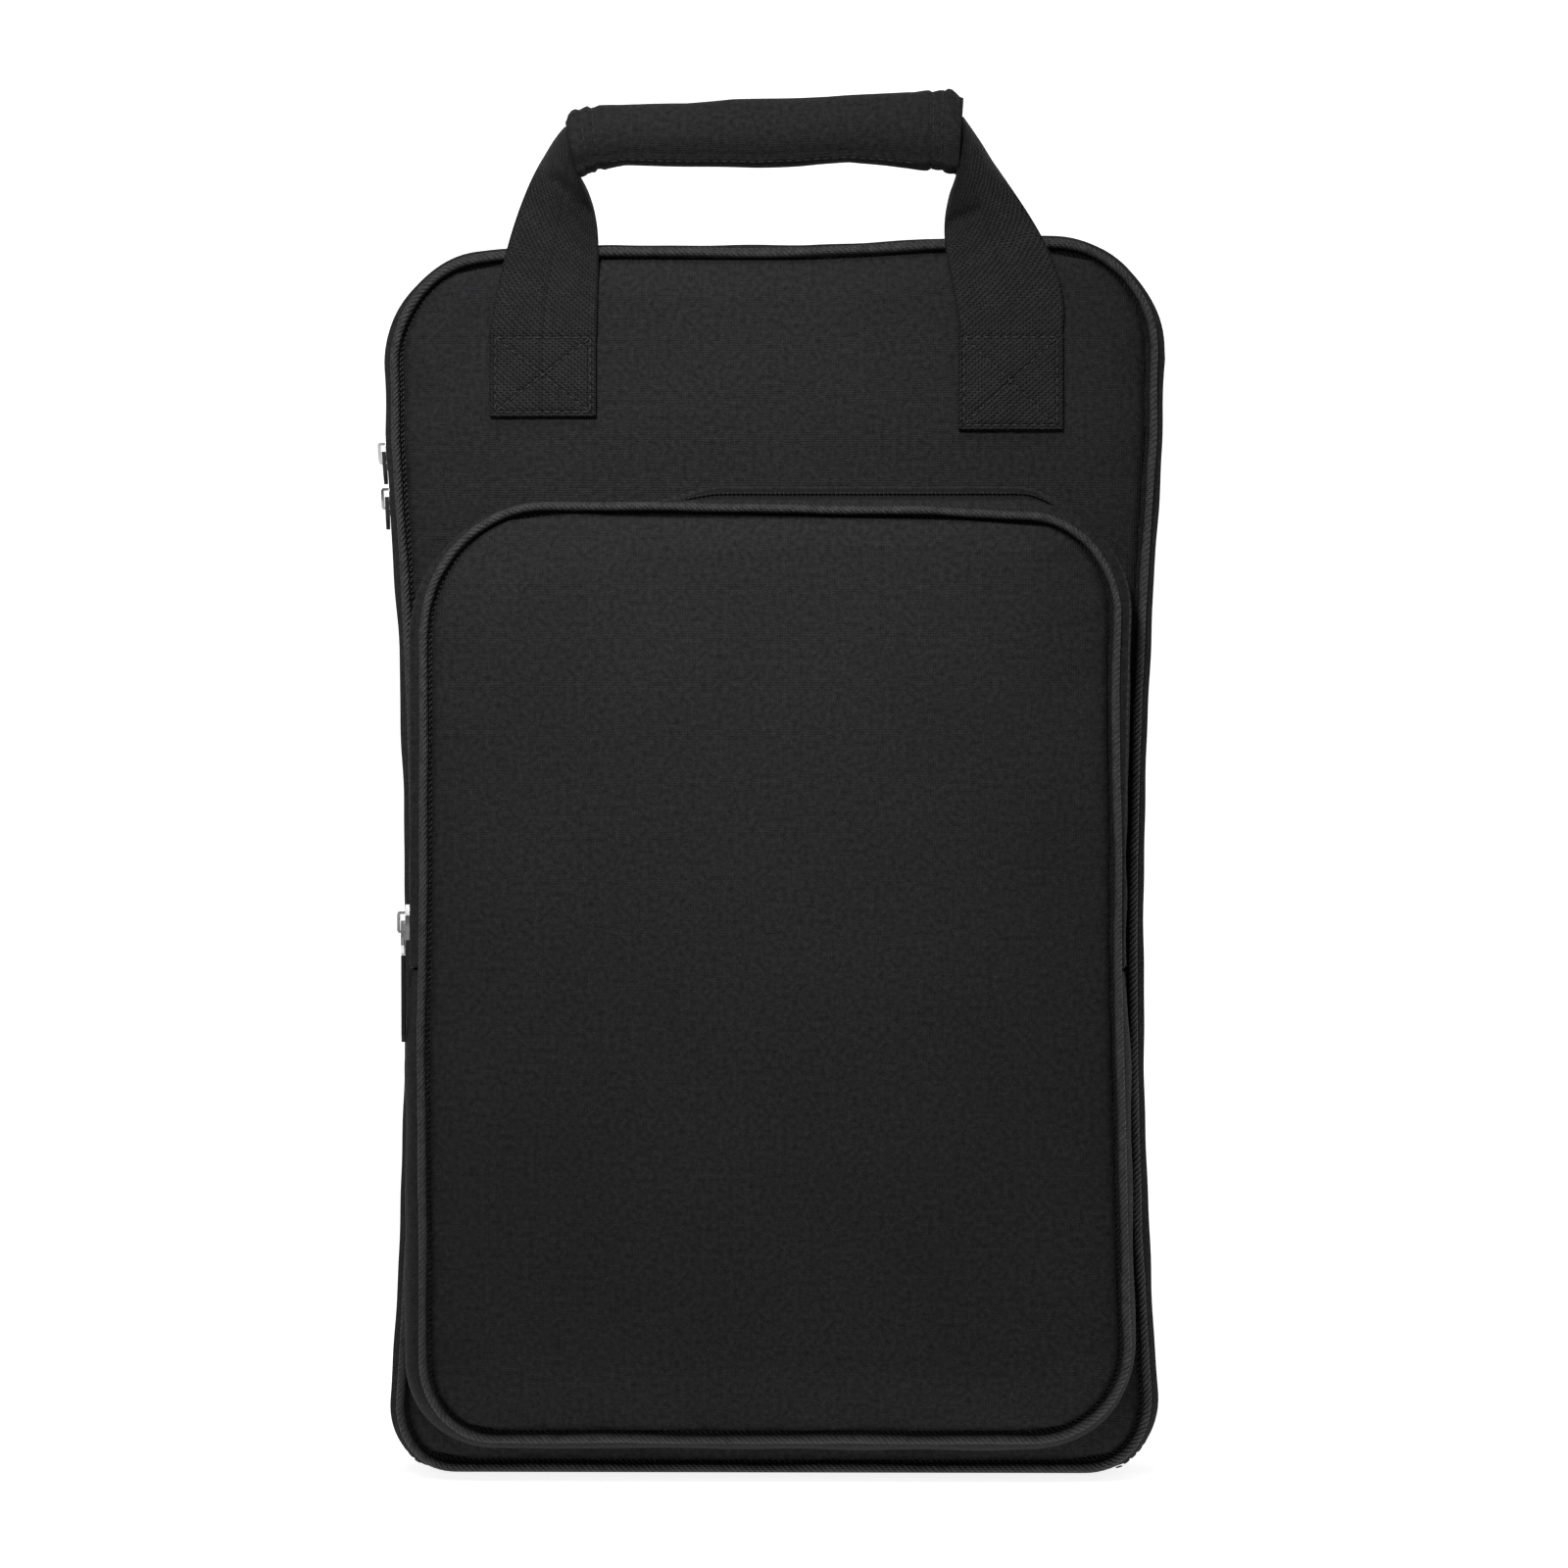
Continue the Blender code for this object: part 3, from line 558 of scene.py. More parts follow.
OXFORD_LOOK = cloth("oxford_black", (0.0168, 0.0168, 0.0178), 0.9 * MM, 0.28 * MM)
GUSSET_LOOK = cloth("oxford_side", (0.0153, 0.0153, 0.0162), 0.9 * MM, 0.28 * MM)
LINING_LOOK = cloth("lining_grey", (0.045, 0.045, 0.050), 0.7 * MM, 0.15 * MM, mottle=0.25, roughness=0.7)
TAPE_LOOK = cloth("zip_tape_black", (0.010, 0.010, 0.011), 0.7 * MM, 0.2 * MM)
PIPING_LOOK = bias_piping("piping_black", (0.0245, 0.0245, 0.0257))
WEBBING_LOOK = twill_webbing("webbing_black", (0.0112, 0.0112, 0.0119))
COIL_LOOK = grained("coil_black", (0.010, 0.010, 0.011), 0.8 * MM, 0.03 * MM, 0.4)
NICKEL_LOOK = grained("nickel", (0.74, 0.74, 0.75), 0.6 * MM, 0.012 * MM, 0.24, metallic=1.0, spread=0.06)
RUBBER_LOOK = grained("pull_black", (0.006, 0.006, 0.007), 0.7 * MM, 0.04 * MM, 0.5)
FOAM_LOOK = grained("foam_grey", (0.10, 0.10, 0.11), 1.2 * MM, 0.3 * MM, 0.9)
THREAD_LOOK = grained("thread_black", (0.017, 0.017, 0.018), 0.35 * MM, 0.06 * MM, 0.6, spread=0.3)


# Padded panels -------------------------------------------------------------

def crowded(count, share):
    """Numbers from 0 to 1 that lie closer together toward both ends, the more so the larger the share."""
    even = np.linspace(0, 1, count)
    return share * (0.5 - 0.5 * np.cos(math.pi * even)) + (1 - share) * even


def panel_grid(ring, inset, columns, rows):
    """Grid points (rows x columns, x and z) that fill an outline, closer together near its edges."""
    low = ring.points[:, 1].min() + inset
    high = ring.points[:, 1].max() - inset
    z = low + (high - low) * crowded(rows, 0.35)
    left, right = ring.extent(z, inset)
    x = left[:, None] + (right - left)[:, None] * crowded(columns, 0.3)[None]
    return joined(x, np.repeat(z[:, None], columns, axis=1))


CLOTH_FRAMES = 18
CLOTH_SETTINGS = {"quality": 5, "mass": 0.3, "air_damping": 4, "tension_stiffness": 40,
                  "compression_stiffness": 40, "shear_stiffness": 15, "bending_stiffness": 2.5,
                  "vertex_group_mass": "held", "shrink_min": -0.002}
GRAVITY = 9.81


def settled(grid, heights, held, out):
    """Cloth pinned where held, which slackens and is pulled outward; returns the new heights."""
    rows, columns = heights.shape
    sheet = lattice("cloth_guide", deep(grid, heights), np.zeros((rows, columns, 2)), wrap_columns=False)
    pins = sheet.vertex_groups.new(name="held")
    for index in np.flatnonzero(held.ravel() > 0):
        pins.add([int(index)], float(held.ravel()[index]), "REPLACE")
    cloth_modifier = sheet.modifiers.new("Cloth", "CLOTH")
    for setting, value in CLOTH_SETTINGS.items():
        setattr(cloth_modifier.settings, setting, value)
    cloth_modifier.collision_settings.use_collision = False
    scene = bpy.context.scene
    old_gravity = tuple(scene.gravity)
    scene.gravity = (0, out * GRAVITY, 0)
    scene.frame_start, scene.frame_end = 1, CLOTH_FRAMES
    for number in range(1, CLOTH_FRAMES + 1):
        scene.frame_set(number)
    moved = np.empty(rows * columns * 3, np.float32)
    solved = sheet.evaluated_get(bpy.context.evaluated_depsgraph_get())
    solved.data.vertices.foreach_get("co", moved)
    scene.gravity = old_gravity
    scene.frame_set(1)
    bpy.data.objects.remove(sheet)
    return moved.reshape(rows, columns, 3)[..., 1]


SEAM_ROLL = 4.2 * MM                 # how far in from its seam a panel rolls up to its face
CROWN_REACH = 95 * MM                # how far in its crown levels off


def crowned(ring, grid, edge_y, face_y, crown, seed, wrinkle):
    """Depths of a padded panel: rolled down to its seam, crowned, and settled as cloth."""
    rows, columns = grid.shape[:2]
    flat = grid.reshape(-1, 2)
    inside = ring.depth(flat).reshape(rows, columns)
    inside -= inside.min()
    out = math.copysign(1, face_y - edge_y)
    roll = np.sqrt(1 - (1 - unit(inside / SEAM_ROLL)) ** 2)
    swell = 1 - (1 - unit(inside / CROWN_REACH)) ** 2
    folds = ripple(flat * (1, 0.55), 120 * MM, seed).reshape(rows, columns)
    puckers = ripple(flat, 26 * MM, seed + 1).reshape(rows, columns)
    near_seam = np.exp(-inside / (22 * MM)) * unit(inside / (4 * MM))
    rest = edge_y + (face_y - edge_y) * roll
    shape = out * (0.35 * crown * swell + wrinkle * (folds * swell + 0.35 * puckers * near_seam))
    start = rest + shape
    held = unit(1 - inside / (9 * MM)) ** 2
    cloth_y = settled(grid, start, held, out)
    start = start + out * np.clip(out * (cloth_y - start), -1.5 * MM, crown)
    return start, inside


def panel_shell(name, grid, outer_y, inner_y, look, nodes, body):
    """A closed panel between its outer and inner depths."""
    rows, columns = grid.shape[:2]
    vertices = np.concatenate([deep(grid, depth).reshape(-1, 3) for depth in (outer_y, inner_y)])
    index = np.arange(rows * columns).reshape(rows, columns)
    front = joined(index[:-1, :-1], index[:-1, 1:], index[1:, 1:], index[1:, :-1]).reshape(-1, 4)
    back = front[:, ::-1] + rows * columns
    border = np.concatenate([index[0, :-1], index[:-1, -1], index[-1, :0:-1], index[:0:-1, 0]])
    after = np.roll(border, -1)
    rim = joined(border, border + rows * columns, after + rows * columns, after)
    faces = np.concatenate([front, back, rim])
    flat = np.concatenate([grid.reshape(-1, 2)] * 2)
    piece = outward(make_object(name, vertices, faces, flat[faces.ravel()]))
    return dress(piece, look, body, nodes)


def foam_pad(name, ring, inset, size, depths, look, nodes, body):
    """A flat pad between two depths, in a grid of size columns and rows."""
    grid = panel_grid(ring, inset, *size)
    near, far = (np.full(grid.shape[:2], depth) for depth in depths)
    return panel_shell(name, grid, near, far, look, nodes, body)


def padded_panel(name, ring, face_y, inner, crown, nodes, body, seed, wrinkle, columns, rows):
    """A padded panel sewn in beside the piping that runs round ring; inner is +1 where its back faces +Y."""
    grid = panel_grid(ring, CORD + 1.3 * MM, columns, rows)
    edge_y = face_y + inner * (CORD_DEPTH + 1.2 * MM)
    outer, inside = crowned(ring, grid, edge_y, face_y, crown, seed, wrinkle)
    back = outer + inner * FABRIC * np.clip(inside / (4 * MM), 0.3, 1)
    piece = panel_shell(name, grid, outer, back, OXFORD_LOOK, nodes, body)
    return piece, grid, outer


# Strips and piping round the edge --------------------------------------------

END_REACH = 40 * MM                  # how far from a strip's end its bulge is at its full height
TUCK_REACH = 2.2 * MM                # how quickly a strip turns in behind the piping


def swept(name, points, normals, inset, y, lay_lines, closed):
    """A section swept along an outline, with an inset and a depth y for each of its points at each place."""
    places = points[:, None, :] - normals[:, None, :] * inset[..., None]
    return lattice(name, deep(places, y), lay_grid(*lay_lines), wrap_rows=closed, caps=not closed)


def strip(node, ring, s, profile, look, body=None, flush=False, bulge=0.0, seed=0,
          unevenness=0.0, closed=False, lift=(0.0, 0.0), tuck=None, droop=no_droop, ease=1.0):
    """The cloth of a CAD strip, round an outline. profile is a closed section of (y, inset, lay) points,
    which swells by bulge and stands up by lift, at its first and last depth, where the pocket's top does.
    tuck is the depth at which it turns in behind the piping, and the piping's insets; ease is what is
    left of the bulge at either end of the strip."""
    points, normals = ring.at(s)
    down = unit(-normals[:, 1])
    section = np.array(profile)
    y = np.repeat(section[None, :, 0], len(s), axis=0)
    inset = np.repeat(section[None, :, 1], len(s), axis=0)
    middle = section[:, 0].mean()
    half = np.ptp(section[:, 0]) / 2
    hump = 1 - ((section[:, 0] - middle) / half) ** 2
    line = joined(np.repeat(s[:, None], len(section), 1).ravel(), y.ravel())
    uneven = ripple(line * (1, 0.6), 38 * MM, seed).reshape(len(s), -1)
    hump = hump[None] * (1 - down[:, None] if flush else 1)
    from_end = np.minimum(s - s[0], s[-1] - s) / END_REACH
    hump = hump * (ease + (1 - ease) * eased(from_end))[:, None]
    inset = inset - (bulge + unevenness * uneven) * hump
    if flush:
        inset = inset - GUSSET_INSET * down[:, None]
    if tuck:
        turn_in = seam_inset(normals, tuck[1]) + droop(points, normals) - section[:, 1].min() + 0.5 * MM
        near_cord = np.exp(-np.abs(section[:, 0] - tuck[0]) / TUCK_REACH)
        inset = inset + np.maximum(turn_in, 0)[:, None] * near_cord
    share = (section[:, 0] - section[0, 0]) / (section[:, 0].max() + section[:, 0].min() - 2 * section[0, 0])
    lifted = lift[0] + (lift[1] - lift[0]) * unit(share)
    inset = inset - sag(points, normals)[:, None] * lifted[None]
    if flush:
        inset = np.maximum(inset, clear_of_floor(down, 0.1 * MM)[:, None])
    s_lay = np.append(s, s[-1] + s[1] - s[0]) if closed else s
    around = np.append(section[:, 2], section[-1, 2] + section[1, 2] - section[0, 2])
    piece = swept(f"{node}_cloth", points, normals, inset, y, (s_lay, around), closed)
    return dress(piece, look, body, (node,))


def clear_of_floor(down, stand):
    """The least inset that keeps what stands out by stand off the floor, where the outline faces down."""
    return np.where(down > 0.9, stand, -20 * MM)


def flat_section(y_from, y_to, inset, thickness, hem_from=0.0, hem_to=0.0, steps=9):
    """A thin closed section between two depths, with a turned hem at either end."""
    y = y_from + (y_to - y_from) * crowded(steps, 0.65)
    fold = np.zeros(steps)
    width = 4.5 * MM
    if hem_from:
        fold += hem_from * (np.abs(y - y_from) < width)
    if hem_to:
        fold += hem_to * (np.abs(y - y_to) < width)
    shy = np.zeros(steps)
    shy[[0, -1]] = 0.35 * thickness
    outer = [(y[k], inset - fold[k] + shy[k], y[k]) for k in range(steps)]
    inner = [(y[k], inset + thickness - shy[k], y[k]) for k in range(steps - 1, -1, -1)]
    return outer + inner


# Where along the top the pocket's zip starts to stand up and where it is back down, and over what lengths.
SAG_START, SAG_RISE = -48 * MM, 30 * MM
SAG_END, SAG_FALL = 116 * MM, 26 * MM


def sag(points, normals):
    """How strongly (0 to 1) the pocket's zip stands proud above its top edge at each point."""
    x = points[:, 0]
    window = eased((x - SAG_START) / SAG_RISE) * eased((SAG_END - x) / SAG_FALL)
    return window * unit(normals[:, 1]) ** 4


FLANGE = 4 * MM
CORD_ARC = (97, 418)                 # degrees, where the cloth round the cord leaves and meets its flange


def piping(name, ring, face_y, inner, nodes, body, seed):
    """Piping: an uneven cord wrapped in cloth, whose flange runs under the panel."""
    s = np.arange(0, ring.perimeter - RING_STEP / 2, RING_STEP)
    points, normals = ring.at(s)
    turns = np.radians(np.linspace(*CORD_ARC, 18))
    inward = np.concatenate([[CORD + FLANGE] * 2, CORD * np.cos(turns)])
    behind = np.concatenate([[CORD, CORD + 0.5 * MM], CORD * np.sin(turns)])
    round_part = np.concatenate([[0, 0], np.ones(len(turns))])
    line = joined(s, s * 0)
    swell = 1 + 0.05 * ripple(line, 13 * MM, seed)[:, None] * round_part
    drift = 0.3 * MM * ripple(line, 70 * MM, seed + 1)[:, None]
    inset = np.maximum(inward * swell - drift, 0.15 * MM - CORD)
    y = face_y + inner * (CORD_DEPTH + behind * swell)
    section = joined(inward, behind)
    around = running_length(np.concatenate([section, section[:1]]))
    around -= around[behind.argmin()]
    piece = swept(name, points, normals, inset, y, (np.append(s, s[-1] + RING_STEP), around), True)
    return dress(piece, PIPING_LOOK, body, nodes)


def seam_line(ring, s, y, inset, flush=False, lift=0.0, stand=0.5 * MM):
    """3-D points and outward normals along an outline, for what stands out from it by stand."""
    points, normals = ring.at(s)
    down = unit(-normals[:, 1])
    inset = inset - lift * sag(points, normals)
    if flush:
        inset = np.maximum(inset - GUSSET_INSET * down, clear_of_floor(down, stand))
    places = points - normals * np.reshape(inset, (-1, 1))
    return deep(places, np.full(len(s), y)), deep(normals, np.zeros(len(s)))


# Zips ------------------------------------------------------------------------

TOOTH_PITCH = 1.6 * MM


def coil(name, ring, s_from, s_to, y, side, inset, nodes, body, flush=False, lift=0.0):
    """Half of a coil zip: hooked teeth that reach across the middle between the other half's."""
    count = int((s_to - s_from) / TOOTH_PITCH)
    s = s_from + (np.arange(count) + (0.25 if side > 0 else 0.75)) * TOOTH_PITCH
    line, out = seam_line(ring, s, y, inset, flush, lift, 0.8 * MM)
    across = np.tile((0.0, float(side), 0.0), (count, 1))
    tangent = np.cross(out, across)
    axes = np.stack([across, out, tangent], axis=1)
    rings = [(-0.75 * MM, 0.15 * MM, 0.12 * MM), (-0.62 * MM, 0.55 * MM, 0.42 * MM),
             (-0.15 * MM, 0.62 * MM, 0.40 * MM), (0.5 * MM, 0.50 * MM, 0.30 * MM),
             (1.9 * MM, 0.45 * MM, 0.28 * MM), (2.1 * MM, 0.1 * MM, 0.1 * MM)]
    piece = scatter(name, *bead(rings), line, axes)
    return dress(piece, COIL_LOOK, body, nodes)


def main_zip():
    """The main zip's tapes and teeth, and the tabs at its ends."""
    s = np.arange(0, ZIP_END, RING_STEP)
    for prefix, side, body in (("rear", 1, SHELL), ("front", -1, COVER)):
        low, high = (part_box(f"{prefix}_zip_tape")[k].y for k in (0, 1))
        near = ZIP_Y + side * 0.15 * MM
        far = (high if side > 0 else low) + side * 1.2 * MM
        section = flat_section(near, far, GUSSET_INSET + 0.35 * MM, 0.7 * MM)
        strip(f"{prefix}_zip_tape", BODY, s, section, TAPE_LOOK, body, flush=True)
        coil(f"{prefix}_zip_teeth", BODY, 4 * MM, ZIP_END - 4 * MM, ZIP_Y, side,
             GUSSET_INSET - 0.1 * MM, (f"{prefix}_zip_coil",), body, flush=True)
    polished("zip_end_tab_upper", GUSSET_LOOK, SHELL, 0.4 * MM)
    polished("zip_end_tab_lower", GUSSET_LOOK, SHELL, 0.4 * MM)


# How far the pocket's top stands up, from back to front: at its rear hem, at the coils, at its front hem.
HEM_LIFT = 7.0 * MM
COIL_LIFT = 4.6 * MM
FRONT_LIFT = 1.6 * MM


def pocket_zip():
    """The pocket zip's tapes and teeth, which stand up where the pocket sags open."""
    s = np.arange(SPLIT_RIGHT + 0.5 * MM, SPLIT_LEFT - 0.5 * MM, RING_STEP)
    for prefix, side, body, lift in (("rear", 1, COVER, HEM_LIFT), ("front", -1, FLAP, FRONT_LIFT)):
        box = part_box(f"pocket_{prefix}_tape")
        near = POCKET_ZIP_Y + side * 0.15 * MM
        far = (box[1].y if side > 0 else box[0].y) + side * 1.0 * MM
        section = flat_section(near, far, POCKET_GUSSET_INSET + 0.35 * MM, 0.7 * MM)
        strip(f"pocket_{prefix}_tape", POCKET, s, section, TAPE_LOOK, body,
              lift=(COIL_LIFT, lift))
        coil(f"pocket_{prefix}_teeth", POCKET, s[0], s[-1], POCKET_ZIP_Y, side,
             POCKET_GUSSET_INSET - 0.1 * MM, (f"pocket_{prefix}_coil",), body, lift=COIL_LIFT)


def polished(node, look, body, width, segments=2):
    """A CAD piece's own shape with its edges rounded off."""
    mesh = frame["nodes"][node].data.copy()
    piece = bpy.data.objects.new(node + "_finished", mesh)
    bpy.context.scene.collection.objects.link(piece)
    bevel = piece.modifiers.new("Bevel", "BEVEL")
    bevel.width = width
    bevel.segments = segments
    bevel.limit_method = "ANGLE"
    bevel.angle_limit = math.radians(25)
    applied = bpy.data.meshes.new_from_object(piece.evaluated_get(bpy.context.evaluated_depsgraph_get()))
    piece.modifiers.clear()
    piece.data = applied
    applied.shade_smooth()
    applied.set_sharp_from_angle(angle=math.radians(50))
    return dress(piece, look, body, (node,))


# Body ------------------------------------------------------------------------

# How far inside the outline the foam and the lining end.
BODY_FOAM_INSET = 13 * MM
POCKET_FOAM_INSET = 14 * MM
LINING_INSET = 4.2 * MM


def body_panels():
    """The back and front padded panels, their foam and their linings; returns the front one's surface."""
    for prefix, y, side, body in (("back", BACK_Y, 1, SHELL), ("front", FRONT_Y, -1, COVER)):
        _, grid, outer = padded_panel(f"{prefix}_panel_cloth", BODY_CORD, y - side * 0.3 * MM, -side,
                                      2.2 * MM, (f"{prefix}_panel",), body, seed=3 if side < 0 else 11,
                                      wrinkle=0.9 * MM, columns=64, rows=96)
        low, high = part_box(f"{prefix}_foam")
        near, far = (high.y, low.y) if side > 0 else (low.y, high.y)
        foam = foam_pad(f"{prefix}_foam_pad", BODY, BODY_FOAM_INSET, (24, 36),
                        (near - side * 0.6 * MM, far), FOAM_LOOK, (f"{prefix}_foam",), body)
        low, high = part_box(f"{prefix}_lining")
        near, far = (low.y, high.y) if side > 0 else (high.y, low.y)
        lining_grid = panel_grid(BODY, LINING_INSET, 50, 76)
        inside = BODY.depth(lining_grid.reshape(-1, 2)).reshape(lining_grid.shape[:2])
        soft = ripple(lining_grid.reshape(-1, 2), 70 * MM, 21 + side).reshape(inside.shape)
        face = near + side * 0.35 * MM * soft * unit((inside - 5 * MM) / (20 * MM))
        panel_shell(f"{prefix}_lining_cloth", lining_grid, face, face + side * 0.6 * MM, LINING_LOOK,
                    (f"{prefix}_lining",), body)
    return grid, outer


def body_edges():
    """Piping, gussets, the hinge strip and the topstitching beside the main zip."""
    for prefix, y, side, body in (("back", BACK_Y, 1, SHELL), ("front", FRONT_Y, -1, COVER)):
        piping(f"{prefix}_piping_cord", BODY_CORD, y, -side, (f"{prefix}_piping",), body, seed=31 + side)
    whole = np.arange(0, BODY.perimeter - RING_STEP / 2, RING_STEP)
    zipped = np.arange(3 * MM, ZIP_END, RING_STEP)
    rear_seam, front_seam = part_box("rear_gusset")[0].y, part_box("front_gusset")[1].y
    gussets = (("rear", BACK_Y - CORD_DEPTH, rear_seam, 1, 19, SHELL, 41, 0.4 * MM),
               ("front", FRONT_Y + CORD_DEPTH, front_seam, -1, 13, COVER, 43, 0.3 * MM))
    for prefix, cord_y, seam_y, side, steps, body, seed, unevenness in gussets:
        section = flat_section(cord_y - side * 0.4 * MM, seam_y, GUSSET_INSET, FABRIC, hem_to=0.5 * MM,
                               steps=steps)
        strip(f"{prefix}_gusset", BODY, whole, section, GUSSET_LOOK, body, flush=True,
              bulge=2.2 * MM, seed=seed, unevenness=unevenness, closed=True, tuck=(cord_y, BODY_SEAM))
    for prefix, y, body in (("rear", rear_seam + 2 * MM, SHELL), ("front", front_seam - 1.6 * MM, COVER)):
        seam = seam_line(BODY, zipped, y, GUSSET_INSET - 1.1 * MM, True)
        stitches(f"{prefix}_zip_topstitch", [seam], body)
    unzipped = np.arange(ZIP_END + 1 * MM, BODY.perimeter - 1 * MM, RING_STEP)
    low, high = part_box("hinge_gusset")
    section = flat_section(high.y + 1 * MM, low.y - 1 * MM, GUSSET_INSET + 0.4 * MM, FABRIC, steps=13)
    hinge = strip("hinge_gusset", BODY, unzipped, section, GUSSET_LOOK,
                  bulge=0.5 * MM, seed=47, unevenness=0.2 * MM)
    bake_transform(hinge)


# Pocket ----------------------------------------------------------------------


def across_fold(piece):
    """Bakes the piece's placement into its mesh."""
    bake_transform(piece)


def pocket():
    """The pocket's panel, foam, piping, gussets, topstitching and tabs."""
    panel, _, _ = padded_panel("pocket_panel_cloth", POCKET_CORD, POCKET_Y + 0.2 * MM, 1, 5 * MM,
                               ("pocket_upper_panel", "pocket_lower_panel"), None, seed=5, wrinkle=1.5 * MM,
                               columns=72, rows=96)
    across_fold(panel)
    low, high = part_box("pocket_upper_foam")
    foam = foam_pad("pocket_foam_pad", POCKET, POCKET_FOAM_INSET, (30, 46), (low.y, high.y), LINING_LOOK,
                    ("pocket_upper_foam", "pocket_lower_foam"), None)
    across_fold(foam)
    across_fold(piping("pocket_piping_cord", POCKET_CORD, POCKET_Y, 1,
                       ("pocket_upper_piping", "pocket_lower_piping"), None, seed=35))
    cord_y = POCKET_Y + CORD_DEPTH
    tuck = (cord_y, POCKET_SEAM)
    front_edge = cord_y + 0.4 * MM
    lower = np.arange(SPLIT_LEFT + 0.5 * MM, POCKET.perimeter + SPLIT_RIGHT - 0.5 * MM, RING_STEP)
    rear_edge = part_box("pocket_lower_gusset")[1].y + 1.2 * MM
    section = flat_section(rear_edge, front_edge, POCKET_GUSSET_INSET, FABRIC, steps=19)
    strip("pocket_lower_gusset", POCKET, lower, section, GUSSET_LOOK, COVER, bulge=3.4 * MM,
          seed=51, unevenness=0.5 * MM, tuck=tuck, droop=pocket_droop, ease=0.5)
    upper = np.arange(SPLIT_RIGHT + 0.5 * MM, SPLIT_LEFT - 0.5 * MM, RING_STEP)
    low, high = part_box("pocket_rear_gusset")
    section = flat_section(high.y + 1.2 * MM, low.y, POCKET_GUSSET_INSET, FABRIC, hem_to=0.5 * MM)
    strip("pocket_rear_gusset", POCKET, upper, section, GUSSET_LOOK, COVER, bulge=1.8 * MM,
          seed=53, unevenness=0.4 * MM, lift=(0.0, HEM_LIFT))
    seam = seam_line(POCKET, upper, low.y + 1.8 * MM, POCKET_GUSSET_INSET - 1.2 * MM, lift=0.85 * HEM_LIFT)
    stitches("pocket_rear_topstitch", [seam], COVER, thread=0.5 * MM)
    zip_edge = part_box("pocket_front_gusset")[1].y
    section = flat_section(zip_edge, front_edge, POCKET_GUSSET_INSET, FABRIC, hem_from=0.4 * MM)
    strip("pocket_front_gusset", POCKET, upper, section, GUSSET_LOOK, FLAP, bulge=1.5 * MM,
          seed=57, unevenness=0.1 * MM, lift=(FRONT_LIFT, 0.0), tuck=tuck, droop=pocket_droop)
    seam = seam_line(POCKET, upper, zip_edge - 1.5 * MM, POCKET_GUSSET_INSET - 0.85 * MM,
                     lift=0.7 * FRONT_LIFT)
    stitches("pocket_front_topstitch", [seam], FLAP)
    for side in ("left", "right"):
        polished(f"pocket_tab_{side}", GUSSET_LOOK, COVER, 0.35 * MM)


# Inside ----------------------------------------------------------------------

SLEEVE_CHANNELS = 5
CHANNEL_COLUMNS = 16                 # columns of the sleeve's grid in each channel


def sleeve():
    """The stick sleeve: cloth that swells into channels between its seams, with a bound top edge."""
    low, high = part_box("stick_sleeve")
    columns = CHANNEL_COLUMNS * SLEEVE_CHANNELS + 1
    x = np.linspace(low.x, high.x, columns)
    z = np.linspace(low.z, high.z, 50)
    place = (x - low.x) / (high.x - low.x) * SLEEVE_CHANNELS
    hump = np.abs(np.sin(math.pi * place)) ** 0.45
    rise = 0.25 + 0.75 * eased((z - low.z) / (30 * MM))
    grid = joined(*np.meshgrid(x, z))
    soft = ripple(grid.reshape(-1, 2), 45 * MM, 61).reshape(grid.shape[:2])
    back = high.y - 0.8 * MM
    depth = (back - low.y - 0.8 * MM) * hump[None] * rise[:, None]
    face = back - depth + 0.9 * MM * soft * hump[None]
    panel_shell("stick_sleeve_cloth", grid, face, face + 0.8 * MM, LINING_LOOK,
                ("stick_sleeve",), SHELL)
    edge_low, edge_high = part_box("sleeve_binding")
    turns = np.radians(np.arange(0, 360, 45) + 22.5)
    top = face[-1]
    edge_z = (edge_low.z + edge_high.z) / 2 - 1 * MM
    rows = [joined(np.full(8, x[k]), top[k] + 0.4 * MM + 1.1 * MM * np.cos(turns),
                   edge_z + 2.6 * MM * np.sin(turns)) for k in range(columns)]
    flat = lay_grid(x, np.append(turns, turns[0] + 2 * math.pi) * 2 * MM)
    binding = lattice("sleeve_binding_tape", np.array(rows), flat, caps=True)
    dress(binding, TAPE_LOOK, SHELL, ("sleeve_binding",))
    seams = []
    for column in range(CHANNEL_COLUMNS, columns - 1, CHANNEL_COLUMNS):
        line = joined(np.full(len(z), x[column]), face[:, column] - 0.15 * MM, z)
        seams.append((line, np.tile((0.0, -1.0, 0.0), (len(z), 1))))
    stitches("sleeve_channel_stitch", seams, SHELL)


# Handle ----------------------------------------------------------------------

# Each leg's outer and inner edges above its stitched end, as curves' control points in millimetres.
LEG_EDGES = {
    "left": (((-105, 424.5), (-100.5, 452), (-91.5, 488), (-77, 499.3)),
             ((-65.2, 424.5), (-65.4, 448), (-61.5, 466), (-72, 482.8))),
    "right": (((107, 424.5), (111, 450), (92, 471), (70.4, 503.6)),
              ((69, 424.5), (66.5, 447), (58, 462), (68.2, 482.6)))}
WEB_WIDTH = 39.6 * MM
WEB_THICKNESS = 1.5 * MM
PATCH_THICKNESS = 2.3 * MM
TUCK = 6 * MM                        # how far the webbing runs on inside the grip
LEG_SPAN = 60 * MM                   # the height over which a leg comes forward from the panel to the grip
BOW_START = 28 * MM                  # how far above its patch a leg begins to bow, and over what height
BOW_SPAN = 34 * MM
CREASE_DEPTH = 2.4 * MM
STITCH_MARGIN = 2.1 * MM             # from a patch's edges in to its stitched box


